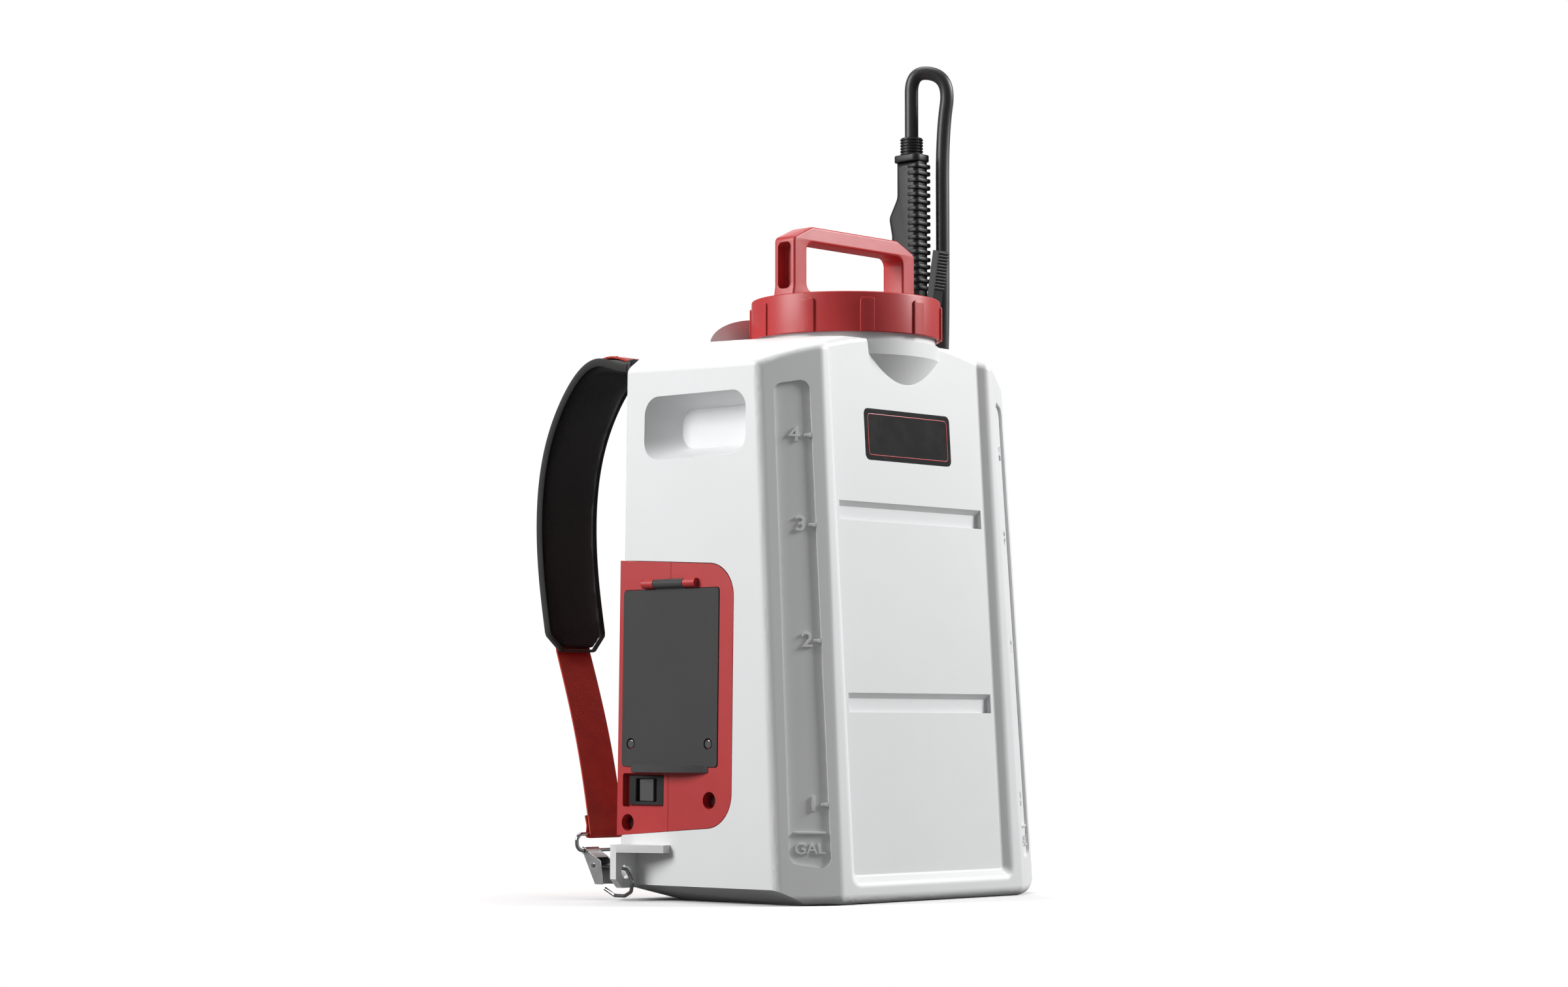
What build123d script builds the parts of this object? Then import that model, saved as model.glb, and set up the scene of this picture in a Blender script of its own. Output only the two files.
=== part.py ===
"""Battery backpack sprayer: tank, drive compartment, harness and spray gun.

Frame: millimetres, +Z up, origin at the centre of the tank's flat underside.
-Y is the label face, +Y the wearer's side, -X the side with the drive compartment,
+X the side that carries the lance.
"""
import math
import os

from build123d import *

# ---------------------------------------------------------------- driving dimensions
# Tank
tank_half_width = 159.0  # half width at the floor
side_lean = 0.015  # inward lean of the sides, per unit of height
tank_back = 100.0  # y of the wearer's face
tank_front = -100.0  # y of the label face at the floor
front_lean = 0.0625  # backward lean of the label face, per unit of height
corner_leg_x = 47.0  # front corner flat, measured across
corner_leg_y = 27.0  # front corner flat, measured back
shoulder_z = 421.0  # height of the side edges
crown_front_z = 446.0  # top of the arched roof at the label face
crown_back_z = 479.5  # top of the arched roof at the wearer's face
tank_wall = 3.0
back_corner_r = 8.5
side_corner_r = 10.0
ridge_r = 10.0
roof_edge_r = 7.5
base_edge_r = 7.5
base_bevel_y = 48.0  # where the underside starts to rise towards the wearer
base_bevel_rise = 14.0
base_side_in = 25.0  # undercut along both sides, measured across
base_side_rise = 12.4

# Label face
panel_half_width = tank_half_width - 60.0
panel_bottom = 15.0
panel_depth = 5.5
panel_slope = 7.0  # width of the sloped edge around the panel
panel_rim_r = 8.5
panel_foot_r = 4.0
groove_depth = 5.0
groove_half_length = panel_half_width - 11.0
groove_floor = 11.0
groove_bevel = 5.5
groove_heights = (148.0, 299.0)
label_width = 106.0
label_height = 41.0
label_z = 370.0
label_thickness = 1.2
label_corner_r = 5.0
label_gap = 0.3

# Level scale on the front corner flats
scale_bottom = 27.0
scale_top = 408.5
scale_end_rise = 5.0  # slope of both ends, away from each other towards the ridge
scale_side_low = 12.0  # reach from the flat's middle towards the tank's side
scale_side_high = 17.5
scale_ridge_low = 22.5  # reach from the flat's middle towards the ridge
scale_ridge_high = 12.5
scale_depth = 2.5
scale_corner_r = 8.0

# Neck and cap
neck_y = -5.0
neck_bore_r = 56.0
thread_r = 71.0
collar_r = 73.5
collar_height = 6.0
spout_r = 76.0
spout_foot_r = 57.8
spout_foot_z = 401.0
spout_knee_z = 434.0  # where the pouring lip's cone turns upright
spout_top_z = 446.0
neck_top_z = 476.0
pocket_clearance = 6.5  # free space behind the cap in the tank's roof
pocket_half_width = 135.0
cap_r = 77.5
cap_wall = 3.0
cap_bottom_z = 451.5
cap_top_z = 484.0
cap_rib_count = 10
cap_rib_width = 11.6
cap_rib_depth = 0.8
cap_rib_drop = 5.0
handle_span = 150.0
handle_depth = 22.0
handle_top_z = 540.0
handle_bar = 13.0
handle_leg = 15.5
handle_foot_flare = 7.0
handle_corner_x = 22.0
handle_corner_z = 10.0
handle_flange = 4.0
handle_web = 3.0
grip_gap_r = 7.0
gasket_thickness = 2.0
gasket_width = 9.0
vent_r = 7.0
vent_height = 5.0
seat_gap = 0.3  # clearance between parts that rest on each other

# Strainer basket
basket_rim = 1.2
basket_wall = 1.5
basket_depth = 62.0
basket_taper = 6.0
basket_clearance = 1.0
basket_window_count = 12
basket_window_width = 16.0
basket_window_height = 34.0

# Side grips
grip_front_y = -36.0
grip_back_y = 76.0
grip_bottom_z = 349.0
grip_top_z = 400.5
grip_r = 15.0
grip_depth = 28.0
grip_slope = 10.0  # wall slope at the front, top and bottom
grip_back_slope = 17.0  # wall slope at the wearer's end

# Drive compartment
pod_front_y = -24.5
pod_seam_y = 43.5
pod_bottom_front_z = 60.0
pod_bottom_back_z = 50.6
pod_top_front_z = 263.0
pod_top_back_z = 270.0
pod_corner_r = 27.0
pod_inner_x = 36.0
pod_gap = 0.6
cover_wall = 3.0
cover_seam = 0.4

# Battery flap
flap_front_y = -9.5
flap_back_y = 95.0
flap_bottom_z = 105.5
flap_top_z = 245.5
flap_thickness = 3.0
flap_proud = 0.8
flap_gap = 0.5
flap_ledge = 5.0
flap_corner_r = 3.0
flap_hole_r = 4.5
flap_hole_z = 123.4
flap_hole_inset = 9.8
flap_pull_proud = 9.0
flap_pull_height = 6.0
flap_pull_wall = 2.2
hinge_z = 250.0
hinge_out = 1.6  # hinge axis outside the cover's face
hinge_r = 3.6
hinge_front_y = 13.7
hinge_back_y = 72.0
hinge_knuckle = 13.0
hinge_pin_r = 1.6
hinge_clearance = 0.05
stud_r = 3.4
stud_stem_r = 2.0

# Battery and tray
bay_depth = 80.0
tray_wall = 2.5
battery_length = 116.0
battery_width = 76.0
battery_depth = 62.0
battery_edge_r = 6.0
battery_z = 178.0
button_width = 26.0
button_height = 12.0
button_proud = 3.0
button_travel = 2.0
blade_length = 12.0
blade_count = 4
blade_pitch = 9.0

# Switch
switch_front_y = 47.0
switch_back_y = 95.5
switch_bottom_z = 72.0
switch_top_z = 101.5
switch_recess = 7.0
switch_frame_width = 38.0
switch_frame_wall = 3.0
rocker_width = 22.0
rocker_inset = 2.0  # ends of the rocker inside its window
rocker_high = 6.5  # raised end, outside the pivot
rocker_low = 3.5  # pressed end, outside the pivot
rocker_dip = 0.6
rocker_back = 2.0  # thickness inside the pivot
rocker_boss_r = 3.0
screw_well_r = 6.75
screw_head_r = 4.5
screw_head_height = 3.0
screw_shank_r = 2.0
screw_length = 18.0
screw_well_depth = 12.0
screw_places = ((88.0, 61.0), (-1.0, 79.5))

# Pump
pump_x = -20.0
pump_z = 88.0
pump_width = 62.0
pump_depth = 52.0
pump_height = 42.0
motor_r = 21.0
motor_length = 74.0
rotor_r = 4.0
rotor_head_r = 12.0
rotor_head_height = 6.0
port_r = 6.0
port_wall = 1.8
board_width = 56.0
board_height = 60.0
board_thickness = 1.6

suction_y = 68.0
suction_z = 88.0
grommet_wall = 2.0

# Hose and outlet
hose_r = 6.0
outlet_x = -44.0
outlet_z = 88.0
outlet_out = 13.0  # hose centre line outside the rear cover
outlet_nut_r = 11.0
outlet_nut_length = 14.0

# Lugs for the strap clips
lug_out = 23.0
lug_y = 77.0
lug_thickness = 6.5
lug_bottom_z = 10.0
lug_top_z = 38.0
lug_hole_r = 6.0
lug_hole_z = 23.0
lug_hole_in = 12.0
lug_rib_height = 6.0
lug_rib_length = 43.0
lug_rib_tip = 7.0

# Harness
strap_x = tank_half_width - 47.5
strap_width = 65.0
pad_thickness = 8.0
webbing_width = 38.0
webbing_thickness = 1.8
webbing_gap = 0.3
anchor_height = 22.0
anchor_thickness = 5.0
anchor_z = 434.0
anchor_screw_pitch = 50.0
anchor_screw_r = 4.0
ring_x = tank_half_width - 5.0
ring_y = 118.0
ring_z = 45.2
ring_length = 65.0
ring_height = 16.0
ring_wire_r = 1.5
clip_x = tank_half_width + lug_out - lug_hole_in
clip_width = 15.0
clip_sheet = 1.2
clip_pivot_y = 107.0
clip_pivot_z = 27.2
hook_wire_r = 1.5

# Spray gun and lance
lance_out = 11.0  # lance centre line outside the tank's foot
gun_x = tank_half_width + lance_out
gun_y = 67.0
gun_width = 19.0
gun_depth = 25.0
gun_corner_r = 8.0
gun_top_z = 630.0
gun_length = 160.0
gun_bottom_z = gun_top_z - gun_length
gun_bulge_down = 48.0  # finger ridge below the gun's top
gun_bulge_z = gun_top_z - gun_bulge_down
gun_bulge = 8.5
gun_rib_pitch = 6.3
gun_rib_depth = 2.0
gun_rib_width = 3.4
gun_rib_count = 18
flange_width = 21.0
flange_depth = 28.0
flange_height = 6.0
hose_nut_r = 10.0
hose_nut_length = 15.5
hose_nut_rings = 6
trigger_width = 12.0
trigger_thickness = 7.5
trigger_pivot_y = 46.0
trigger_pivot_up = 12.0  # pivot above the gun's lower end
trigger_pivot_z = gun_bottom_z + trigger_pivot_up
trigger_tip_y = 34.5
trigger_rise = 67.0
trigger_tip_z = trigger_pivot_z + trigger_rise
trigger_rib_pitch = 2.8
trigger_rib_count = 12
trigger_rib_depth = 0.8
trigger_pin_r = 2.0
stem_r = 2.2
stem_up = 13.0  # valve stem above the trigger's pivot
stem_z = trigger_pivot_z + stem_up
lock_r = 2.6
lock_up = 61.0  # lock above the gun's lower end
lock_z = gun_bottom_z + lock_up
lock_proud = 5.0
lock_travel = 3.0
lance_r = 5.0
lance_bottom_z = 74.0
lance_nut_r = 10.0
lance_nut_length = 18.0
nozzle_r = 8.0
nozzle_length = 18.0
nozzle_tip = 8.0
clip_heights = (120.0, 300.0)
clip_wall = 2.4
clip_height = 16.0
clip_mouth = 100.0  # opening of the lance clip, degrees
running_gap = 0.05

os.makedirs("parts", exist_ok=True)


def save(builder, label):
    """Label a finished piece and write it to its own file."""
    builder.part.label = label
    export_step(builder.part, f"parts/{label}.step")


def side_x(z):
    """Half width of the tank at height z."""
    return tank_half_width - side_lean * z


def front_y(z):
    """Place of the label face at height z."""
    return tank_front + front_lean * z


# ---------------------------------------------------------------- tank
form_top = crown_back_z + 20


def tank_outline(z, inset, panel):
    """Six-sided cross-section at height z, inset all round and by panel more at the front."""
    half = side_x(z)
    front = front_y(z) + panel
    with BuildSketch(Plane.XY.offset(z)) as outline:
        Polygon(
            (-half, tank_back),
            (-half, front + corner_leg_y),
            (-half + corner_leg_x, front),
            (half - corner_leg_x, front),
            (half, front + corner_leg_y),
            (half, tank_back),
            align=None,
        )
        if inset:
            offset(amount=-inset, kind=Kind.INTERSECTION)
    return outline.sketch


def crown_outline(y, crown_z, inset):
    """Arched end view of the roof at depth y, wider than the tank."""
    reach = 1.1 * tank_half_width
    edge_z = crown_z - (crown_z - shoulder_z) * (reach / side_x(shoulder_z)) ** 2 - inset
    with BuildSketch(Plane.XZ.offset(-y)) as outline:
        with BuildLine():
            Polyline((-reach, edge_z), (-reach, -form_top), (reach, -form_top), (reach, edge_z))
            ThreePointArc((reach, edge_z), (0, crown_z - inset), (-reach, edge_z))
        make_face()
    return outline.sketch


def panel_plane(sink=0.0):
    """Plane of the label face, sunk by sink."""
    normal = Vector(0, -1, front_lean)
    return Plane(origin=(0, tank_front, 0), x_dir=(1, 0, 0), z_dir=normal).offset(-sink)


def panel_recess():
    """Recess of the label face with sloped edges, running out through the roof."""
    height = form_top - panel_bottom
    middle = (form_top + panel_bottom) / 2
    grow = panel_slope / panel_depth  # widening of the sloped edge over one unit outwards
    with BuildSketch(panel_plane(-1)) as mouth:
        with Locations((0, middle)):
            RectangleRounded(2 * (panel_half_width + grow), height + 2 * grow, panel_slope + grow)
    with BuildSketch(panel_plane(panel_depth)) as floor:
        with Locations((0, middle)):
            RectangleRounded(2 * (panel_half_width - panel_slope), height - 2 * panel_slope, panel_slope / 2)
    return loft([mouth.sketch, floor.sketch], mode=Mode.PRIVATE)


def tank_form(inset=0.0, panel=0.0):
    """Body of the tank without its neck and recesses, or its cavity when inset."""

    def upright(keep):
        return [e for e in form.edges() if abs(e.tangent_at(0.5).Z) > 0.9 and keep(e.center())]

    beyond = 1.0  # the roof's shape reaches past the tank's faces
    with BuildPart() as form:
        loft([tank_outline(z, inset, panel) for z in (inset, form_top)])
        fillet(upright(lambda c: c.Y > 0), back_corner_r - inset)
        fillet(upright(lambda c: c.Y < 0 and abs(c.X) < side_x(0) - corner_leg_x / 2), ridge_r - inset)
        fillet(upright(lambda c: c.Y < 0 and abs(c.X) > side_x(0) - corner_leg_x / 2), side_corner_r - inset)
        if not inset:
            add(panel_recess(), mode=Mode.SUBTRACT)
            fillet(upright(lambda c: c.Y < 0 and abs(abs(c.X) - panel_half_width) < 2), panel_rim_r)
            fillet(upright(lambda c: c.Y < 0 and abs(abs(c.X) - panel_half_width + panel_slope) < 2), panel_foot_r)
        loft(
            [
                crown_outline(tank_front - beyond, crown_front_z, inset),
                crown_outline(tank_back + beyond, crown_back_z, inset),
            ],
            mode=Mode.INTERSECT,
        )
        fillet(form.faces().sort_by(Axis.Z)[-1].edges(), roof_edge_r - inset)
        fillet(form.faces().sort_by(Axis.Z)[0].edges(), base_edge_r - inset)
    return form.part


def side_plane(out=0.0):
    """Leaning left side of the tank: local x towards the label face, local y up, normal outwards."""
    normal = Vector(-1, 0, side_lean)
    face = Plane(origin=(-tank_half_width, 0, 0), x_dir=(0, -1, 0), z_dir=normal)
    return face.offset(out)


def pod_outline(plane, gap):
    """Side view of the drive compartment, gap larger all round and open past the wearer's face."""
    past = tank_back + 2 * cover_wall if gap else tank_back
    with BuildSketch(plane) as outline:
        with BuildLine():
            Polyline(
                (-past, pod_bottom_back_z - gap),
                (-pod_front_y + gap, pod_bottom_front_z - gap),
                (-pod_front_y + gap, pod_top_front_z + gap),
                (-past, pod_top_back_z + gap),
                close=True,
            )
        make_face()
        fillet(outline.vertices().group_by(Axis.X)[-1], pod_corner_r)
    return outline.sketch


def side_block(outline, inner_x):
    """Solid from the left side's outline inwards to x = inner_x."""
    return extrude(outline, amount=tank_half_width + inner_x, dir=(1, 0, 0), mode=Mode.PRIVATE)


def grip_hollow(side, wall):
    """Sloped hollow of one side grip, wall larger all round."""
    reach = side_x(grip_bottom_z)
    middle_y = (grip_front_y + grip_back_y) / 2
    middle_z = (grip_bottom_z + grip_top_z) / 2
    length = grip_back_y - grip_front_y
    height = grip_top_z - grip_bottom_z
    outer = Plane(origin=(side * (reach + 1), middle_y, middle_z), x_dir=(0, 1, 0), z_dir=(side, 0, 0))
    floor_y = middle_y + (grip_slope - grip_back_slope) / 2
    floor_length = length - grip_slope - grip_back_slope
    floor_x = side * (reach - grip_depth - wall)
    floor = Plane(origin=(floor_x, floor_y, middle_z), x_dir=(0, 1, 0), z_dir=(side, 0, 0))
    with BuildSketch(outer) as mouth:
        RectangleRounded(length + 2 * wall, height + 2 * wall, grip_r + wall)
    with BuildSketch(floor) as bottom:
        RectangleRounded(floor_length + 2 * wall, height - 2 * grip_slope + 2 * wall, grip_r + wall - 2)
    return loft([mouth.sketch, bottom.sketch], mode=Mode.PRIVATE)


def groove_profile(z, past):
    """End view of one groove across the panel: steep below, bevelled above."""
    face = front_y(z) + panel_depth
    with BuildSketch(Plane.YZ.offset(-groove_half_length - past)) as profile:
        Polygon(
            (face - 1 - past, z - past),
            (face + groove_depth + past, z - past),
            (face + groove_depth + past, z + groove_floor + past),
            (face - 1 - past, z + groove_floor + groove_bevel + 1 + past),
            align=None,
        )
    return extrude(profile.sketch, amount=2 * (groove_half_length + past), mode=Mode.PRIVATE)


def scale_plane(side):
    """Plane of a front corner flat at mid height, local x across and local y up."""
    low, high = scale_bottom, scale_top
    outer = Vector(side * side_x(low), front_y(low) + corner_leg_y, low)
    inner = Vector(side * (side_x(low) - corner_leg_x), front_y(low), low)
    above = Vector(side * (side_x(high) - corner_leg_x), front_y(high), high)
    across = (inner - outer) * -side
    normal = (above - inner).cross(across) * -1
    middle = (outer + above) / 2
    return Plane(origin=middle, x_dir=across, z_dir=normal)


def lug(side):
    """Strap lug on one lower rear corner: an eye plate with a tapering rib over it."""
    root = side_x(0) - lug_rib_height
    tip = side_x(0) + lug_out
    with BuildPart() as ear:
        with BuildSketch(Plane.XZ.offset(-lug_y)):
            with BuildLine():
                Polyline(
                    (side * root, lug_bottom_z),
                    (side * (tip - lug_rib_tip), lug_bottom_z),
                    (side * tip, lug_bottom_z + lug_rib_tip),
                    (side * tip, lug_top_z + lug_rib_height),
                    (side * root, lug_top_z + lug_rib_height),
                    close=True,
                )
            make_face()
            with Locations((side * (tip - lug_hole_in), lug_hole_z)):
                Circle(lug_hole_r, mode=Mode.SUBTRACT)
        extrude(amount=-lug_thickness)
        with BuildSketch(Plane.XY.offset(lug_top_z)):
            with BuildLine():
                Polyline(
                    (side * root, lug_y + lug_thickness),
                    (side * tip, lug_y + lug_thickness),
                    (side * tip, lug_y),
                    (side * (side_x(0) + lug_rib_tip), lug_y + lug_thickness - lug_rib_length),
                    (side * root, lug_y + lug_thickness - lug_rib_length),
                    close=True,
                )
            make_face()
        extrude(amount=lug_rib_height)
    return ear.part


def side_undercuts(wall):
    """Wedges under both lower side edges, or under the cavity when given the wall."""
    low_x = tank_half_width - base_side_in
    with BuildPart() as wedges:
        with BuildSketch(Plane.XZ.offset(-tank_back - 1)):
            for side in (-1, 1):
                Polygon(
                    (side * low_x, wall - 1),
                    (side * low_x, wall),
                    (side * tank_half_width, base_side_rise + wall),
                    (side * (tank_half_width + 2), base_side_rise + wall),
                    (side * (tank_half_width + 2), wall - 1),
                    align=None,
                )
        extrude(amount=tank_back - tank_front + 2)
    return wedges.part


pocket_r = cap_r + pocket_clearance
tank_shape = tank_form()
cavity_shape = tank_form(tank_wall, panel_depth)
lugs = [lug(side) for side in (-1, 1)]

with BuildPart() as cavity:
    add(cavity_shape)
    pod_shell = pod_outline(side_plane(), pod_gap + tank_wall)
    add(side_block(pod_shell, pod_inner_x + tank_wall), mode=Mode.SUBTRACT)
    for side in (-1, 1):
        add(grip_hollow(side, tank_wall), mode=Mode.SUBTRACT)
    for z in groove_heights:
        add(groove_profile(z, tank_wall), mode=Mode.SUBTRACT)
    with BuildSketch(Plane.XY.offset(spout_top_z - tank_wall)):
        with Locations((0, neck_y)):
            Ellipse(pocket_half_width + tank_wall, pocket_r + tank_wall)
    extrude(amount=form_top - spout_top_z, mode=Mode.SUBTRACT)
    with BuildSketch(Plane.YZ.offset(-tank_half_width)):
        Polygon(
            (base_bevel_y, -tank_wall),
            (base_bevel_y, tank_wall),
            (tank_back, base_bevel_rise + tank_wall),
            (tank_back, -tank_wall),
            align=None,
        )
    extrude(amount=2 * tank_half_width, mode=Mode.SUBTRACT)
    add(side_undercuts(tank_wall), mode=Mode.SUBTRACT)

with BuildPart() as tank:
    add(tank_shape)
    with BuildSketch(Plane.XY.offset(spout_top_z)):
        with Locations((0, neck_y)):
            Ellipse(pocket_half_width, pocket_r)
    extrude(amount=form_top - spout_top_z, mode=Mode.SUBTRACT)
    with BuildSketch(Plane.YZ.offset(-tank_half_width - 1)):
        Polygon(
            (base_bevel_y, -1),
            (base_bevel_y, 0),
            (tank_back + 1, base_bevel_rise),
            (tank_back + 1, -1),
            align=None,
        )
    extrude(amount=2 * (tank_half_width + 1), mode=Mode.SUBTRACT)
    add(side_undercuts(0), mode=Mode.SUBTRACT)
    for z in groove_heights:
        add(groove_profile(z, 0), mode=Mode.SUBTRACT)
    with BuildSketch(panel_plane(panel_depth + label_thickness)):
        with Locations((0, label_z)):
            RectangleRounded(label_width + 2 * label_gap, label_height + 2 * label_gap, label_corner_r)
    extrude(amount=label_thickness + 1, mode=Mode.SUBTRACT)
    for side in (-1, 1):
        scale_half = (scale_top - scale_bottom) / 2
        with BuildSketch(scale_plane(side).offset(-scale_depth)) as strip:
            Polygon(
                (side * scale_side_low, scale_end_rise - scale_half),
                (-side * scale_ridge_low, -scale_half),
                (-side * scale_ridge_high, scale_half),
                (side * scale_side_high, scale_half - scale_end_rise),
                align=None,
            )
            fillet(strip.vertices(), scale_corner_r)
        extrude(amount=scale_depth + 5, mode=Mode.SUBTRACT)
    add(lugs)
    with BuildSketch(Plane.XY.offset(spout_foot_z)):
        with Locations((0, neck_y)):
            Circle(spout_foot_r)
    with BuildSketch(Plane.XY.offset(spout_knee_z)):
        with Locations((0, neck_y)):
            Circle(spout_r)
    loft()
    for radius, low_z, top_z in (
        (spout_r, spout_knee_z, spout_top_z),
        (collar_r, spout_top_z, spout_top_z + collar_height),
        (thread_r, spout_top_z, neck_top_z),
    ):
        with BuildSketch(Plane.XY.offset(low_z)):
            with Locations((0, neck_y)):
                Circle(radius)
        extrude(amount=top_z - low_z)
    add(side_block(pod_outline(side_plane(2), pod_gap), pod_inner_x + 2), mode=Mode.SUBTRACT)
    for side in (-1, 1):
        add(grip_hollow(side, 0), mode=Mode.SUBTRACT)
    add(cavity.part, mode=Mode.SUBTRACT)
    with BuildSketch(Plane.XY.offset(spout_foot_z - 2 * tank_wall)):
        with Locations((0, neck_y)):
            Circle(neck_bore_r)
    extrude(amount=neck_top_z, mode=Mode.SUBTRACT)

    with BuildSketch(Plane.YZ.offset(pod_inner_x - tank_wall)):
        with Locations((suction_y, suction_z)):
            Circle(port_r + grommet_wall)
    extrude(amount=3 * tank_wall, mode=Mode.SUBTRACT)
save(tank, "tank")

with BuildPart() as label_plate:
    with BuildSketch(panel_plane(panel_depth + label_thickness)):
        with Locations((0, label_z)):
            RectangleRounded(label_width, label_height, label_corner_r)
    extrude(amount=label_thickness)
save(label_plate, "label_plate")

# ---------------------------------------------------------------- cap and strainer
gasket_z = neck_top_z + basket_rim + seat_gap
plate_z = gasket_z + gasket_thickness + seat_gap
cap_inner_r = cap_r - cap_wall
vent_stem_r = vent_r / 3

with BuildPart() as strainer_basket:
    wall_r = neck_bore_r - basket_clearance
    foot_r = wall_r - basket_taper
    foot_z = neck_top_z - basket_depth
    with BuildSketch(Plane.XZ.offset(-neck_y)):
        Polygon(
            (wall_r - basket_wall, neck_top_z),
            (wall_r, neck_top_z),
            (foot_r, foot_z),
            (0, foot_z),
            (0, foot_z + basket_wall),
            (foot_r - basket_wall, foot_z + basket_wall),
            align=None,
        )
    revolve(axis=Axis((0, neck_y, 0), (0, 0, 1)))
    with Locations((0, neck_y, foot_z + basket_depth / 2)):
        with PolarLocations(foot_r, basket_window_count):
            Box(4 * basket_taper, basket_window_width, basket_window_height, mode=Mode.SUBTRACT)
    with Locations((0, neck_y, foot_z)):
        with PolarLocations(foot_r / 2, basket_window_count // 2):
            Cylinder(basket_window_width / 2, 4 * basket_wall, mode=Mode.SUBTRACT)
save(strainer_basket, "strainer_basket")

with BuildPart() as strainer_rim:
    rim_r = thread_r - 2
    with BuildSketch(Plane.XY.offset(neck_top_z)):
        with Locations((0, neck_y)):
            Circle(rim_r)
            Circle(wall_r - basket_wall, mode=Mode.SUBTRACT)
    extrude(amount=basket_rim)
save(strainer_rim, "strainer_rim")

with BuildPart() as cap_gasket:
    with BuildSketch(Plane.XY.offset(gasket_z)):
        with Locations((0, neck_y)):
            Circle(thread_r)
            Circle(thread_r - gasket_width, mode=Mode.SUBTRACT)
    extrude(amount=gasket_thickness)
save(cap_gasket, "cap_gasket")


def handle_profile():
    """Side view of the carrying handle with its finger gap, standing on the cap."""
    half = handle_span / 2
    gap_half = half - handle_leg
    with BuildSketch(Plane.XZ.offset(-neck_y - handle_depth / 2)) as profile:
        with BuildLine():
            Polyline(
                (-half - handle_foot_flare / 4, plate_z),
                (-half, cap_top_z + handle_foot_flare),
                (-half, handle_top_z - handle_corner_z),
                (-half + handle_corner_x, handle_top_z),
                (half - handle_corner_x, handle_top_z),
                (half, handle_top_z - handle_corner_z),
                (half, cap_top_z + handle_foot_flare),
                (half + handle_foot_flare / 4, plate_z),
                close=True,
            )
        make_face()
        gap_height = handle_top_z - handle_bar - cap_top_z
        with Locations((0, cap_top_z + gap_height / 2)):
            RectangleRounded(2 * gap_half, gap_height, grip_gap_r, mode=Mode.SUBTRACT)
    return profile.sketch


with BuildPart() as cap:
    with BuildSketch(Plane.XY.offset(cap_bottom_z)):
        with Locations((0, neck_y)):
            Circle(cap_r)
    extrude(amount=cap_top_z - cap_bottom_z)
    fillet(cap.faces().sort_by(Axis.Z)[-1].edges(), cap_wall)
    with BuildSketch(Plane.XY.offset(cap_bottom_z)):
        with Locations((0, neck_y)):
            Circle(cap_inner_r)
    extrude(amount=plate_z - cap_bottom_z, mode=Mode.SUBTRACT)
    extrude(handle_profile(), amount=handle_depth)
    for side in (-1, 1):
        with Locations((side * handle_span / 2, neck_y, (cap_top_z + handle_top_z) / 2)):
            Box(
                2 * (handle_leg - handle_web),
                handle_depth - 2 * handle_flange,
                handle_top_z - cap_top_z - 2 * handle_bar,
                mode=Mode.SUBTRACT,
            )
    with Locations((0, neck_y, cap_bottom_z + (cap_top_z - cap_bottom_z - cap_rib_drop) / 2)):
        with PolarLocations(cap_r - cap_rib_depth, cap_rib_count, start_angle=180 / cap_rib_count):
            Box(4 * cap_rib_depth, cap_rib_width, cap_top_z - cap_bottom_z - cap_rib_drop)
    with Locations((0, neck_y, plate_z)):
        Cylinder(vent_stem_r + running_gap, 4 * (cap_top_z - plate_z), mode=Mode.SUBTRACT)
save(cap, "cap")

with BuildPart() as vent_valve:
    with BuildSketch(Plane.XY.offset(plate_z - running_gap)):
        with Locations((0, neck_y)):
            Circle(vent_r)
    extrude(amount=-vent_height / 3)
    with BuildSketch(Plane.XY.offset(plate_z - running_gap)):
        with Locations((0, neck_y)):
            Circle(vent_stem_r)
    extrude(amount=cap_top_z - plate_z + vent_height)
save(vent_valve, "vent_valve")

# ---------------------------------------------------------------- drive compartment cover
flap_sink = flap_thickness - flap_proud
ledge_front = flap_sink + seat_gap
ledge_back = ledge_front + cover_wall
flap_mid = ((flap_front_y + flap_back_y) / 2, (flap_bottom_z + flap_top_z) / 2)
stud_places = (
    (flap_front_y + flap_hole_inset, flap_hole_z),
    (flap_back_y - flap_hole_inset, flap_hole_z),
)
hinge_barrel_front = hinge_front_y + hinge_knuckle
hinge_barrel_back = hinge_back_y - hinge_knuckle


def side_box(y_range, z_range, out_range, corner=0.0):
    """Block on the leaning side: its y and z extents, and its depths outside the side face."""
    length = y_range[1] - y_range[0]
    height = z_range[1] - z_range[0]
    with BuildSketch(side_plane(out_range[0])) as face:
        with Locations((-(y_range[0] + y_range[1]) / 2, (z_range[0] + z_range[1]) / 2)):
            if corner:
                RectangleRounded(length, height, corner)
            else:
                Rectangle(length, height)
    return extrude(face.sketch, amount=out_range[1] - out_range[0], mode=Mode.PRIVATE)


def side_disc(place, radius, out_range):
    """Round block on the leaning side at (y, z), between two depths outside the side face."""
    with BuildSketch(side_plane(out_range[0])) as face:
        with Locations((-place[0], place[1])):
            Circle(radius)
    return extrude(face.sketch, amount=out_range[1] - out_range[0], mode=Mode.PRIVATE)


def hinge_rod(radius, low_y, high_y):
    """Round bar on the flap's hinge axis."""
    axis_point = side_plane(hinge_out).from_local_coords((0, hinge_z, 0))
    with BuildSketch(Plane.XZ.offset(-high_y)) as end:
        with Locations((axis_point.X, axis_point.Z)):
            Circle(radius)
    return extrude(end.sketch, amount=high_y - low_y, mode=Mode.PRIVATE)


def flap_block(grow, out_range, corner=flap_corner_r):
    """Block of the flap's outline, grown all round."""
    return side_box(
        (flap_front_y - grow, flap_back_y + grow),
        (flap_bottom_z - grow, flap_top_z + grow),
        out_range,
        corner,
    )


switch_well = ((switch_front_y, switch_back_y), (switch_bottom_z, switch_top_z))

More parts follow.
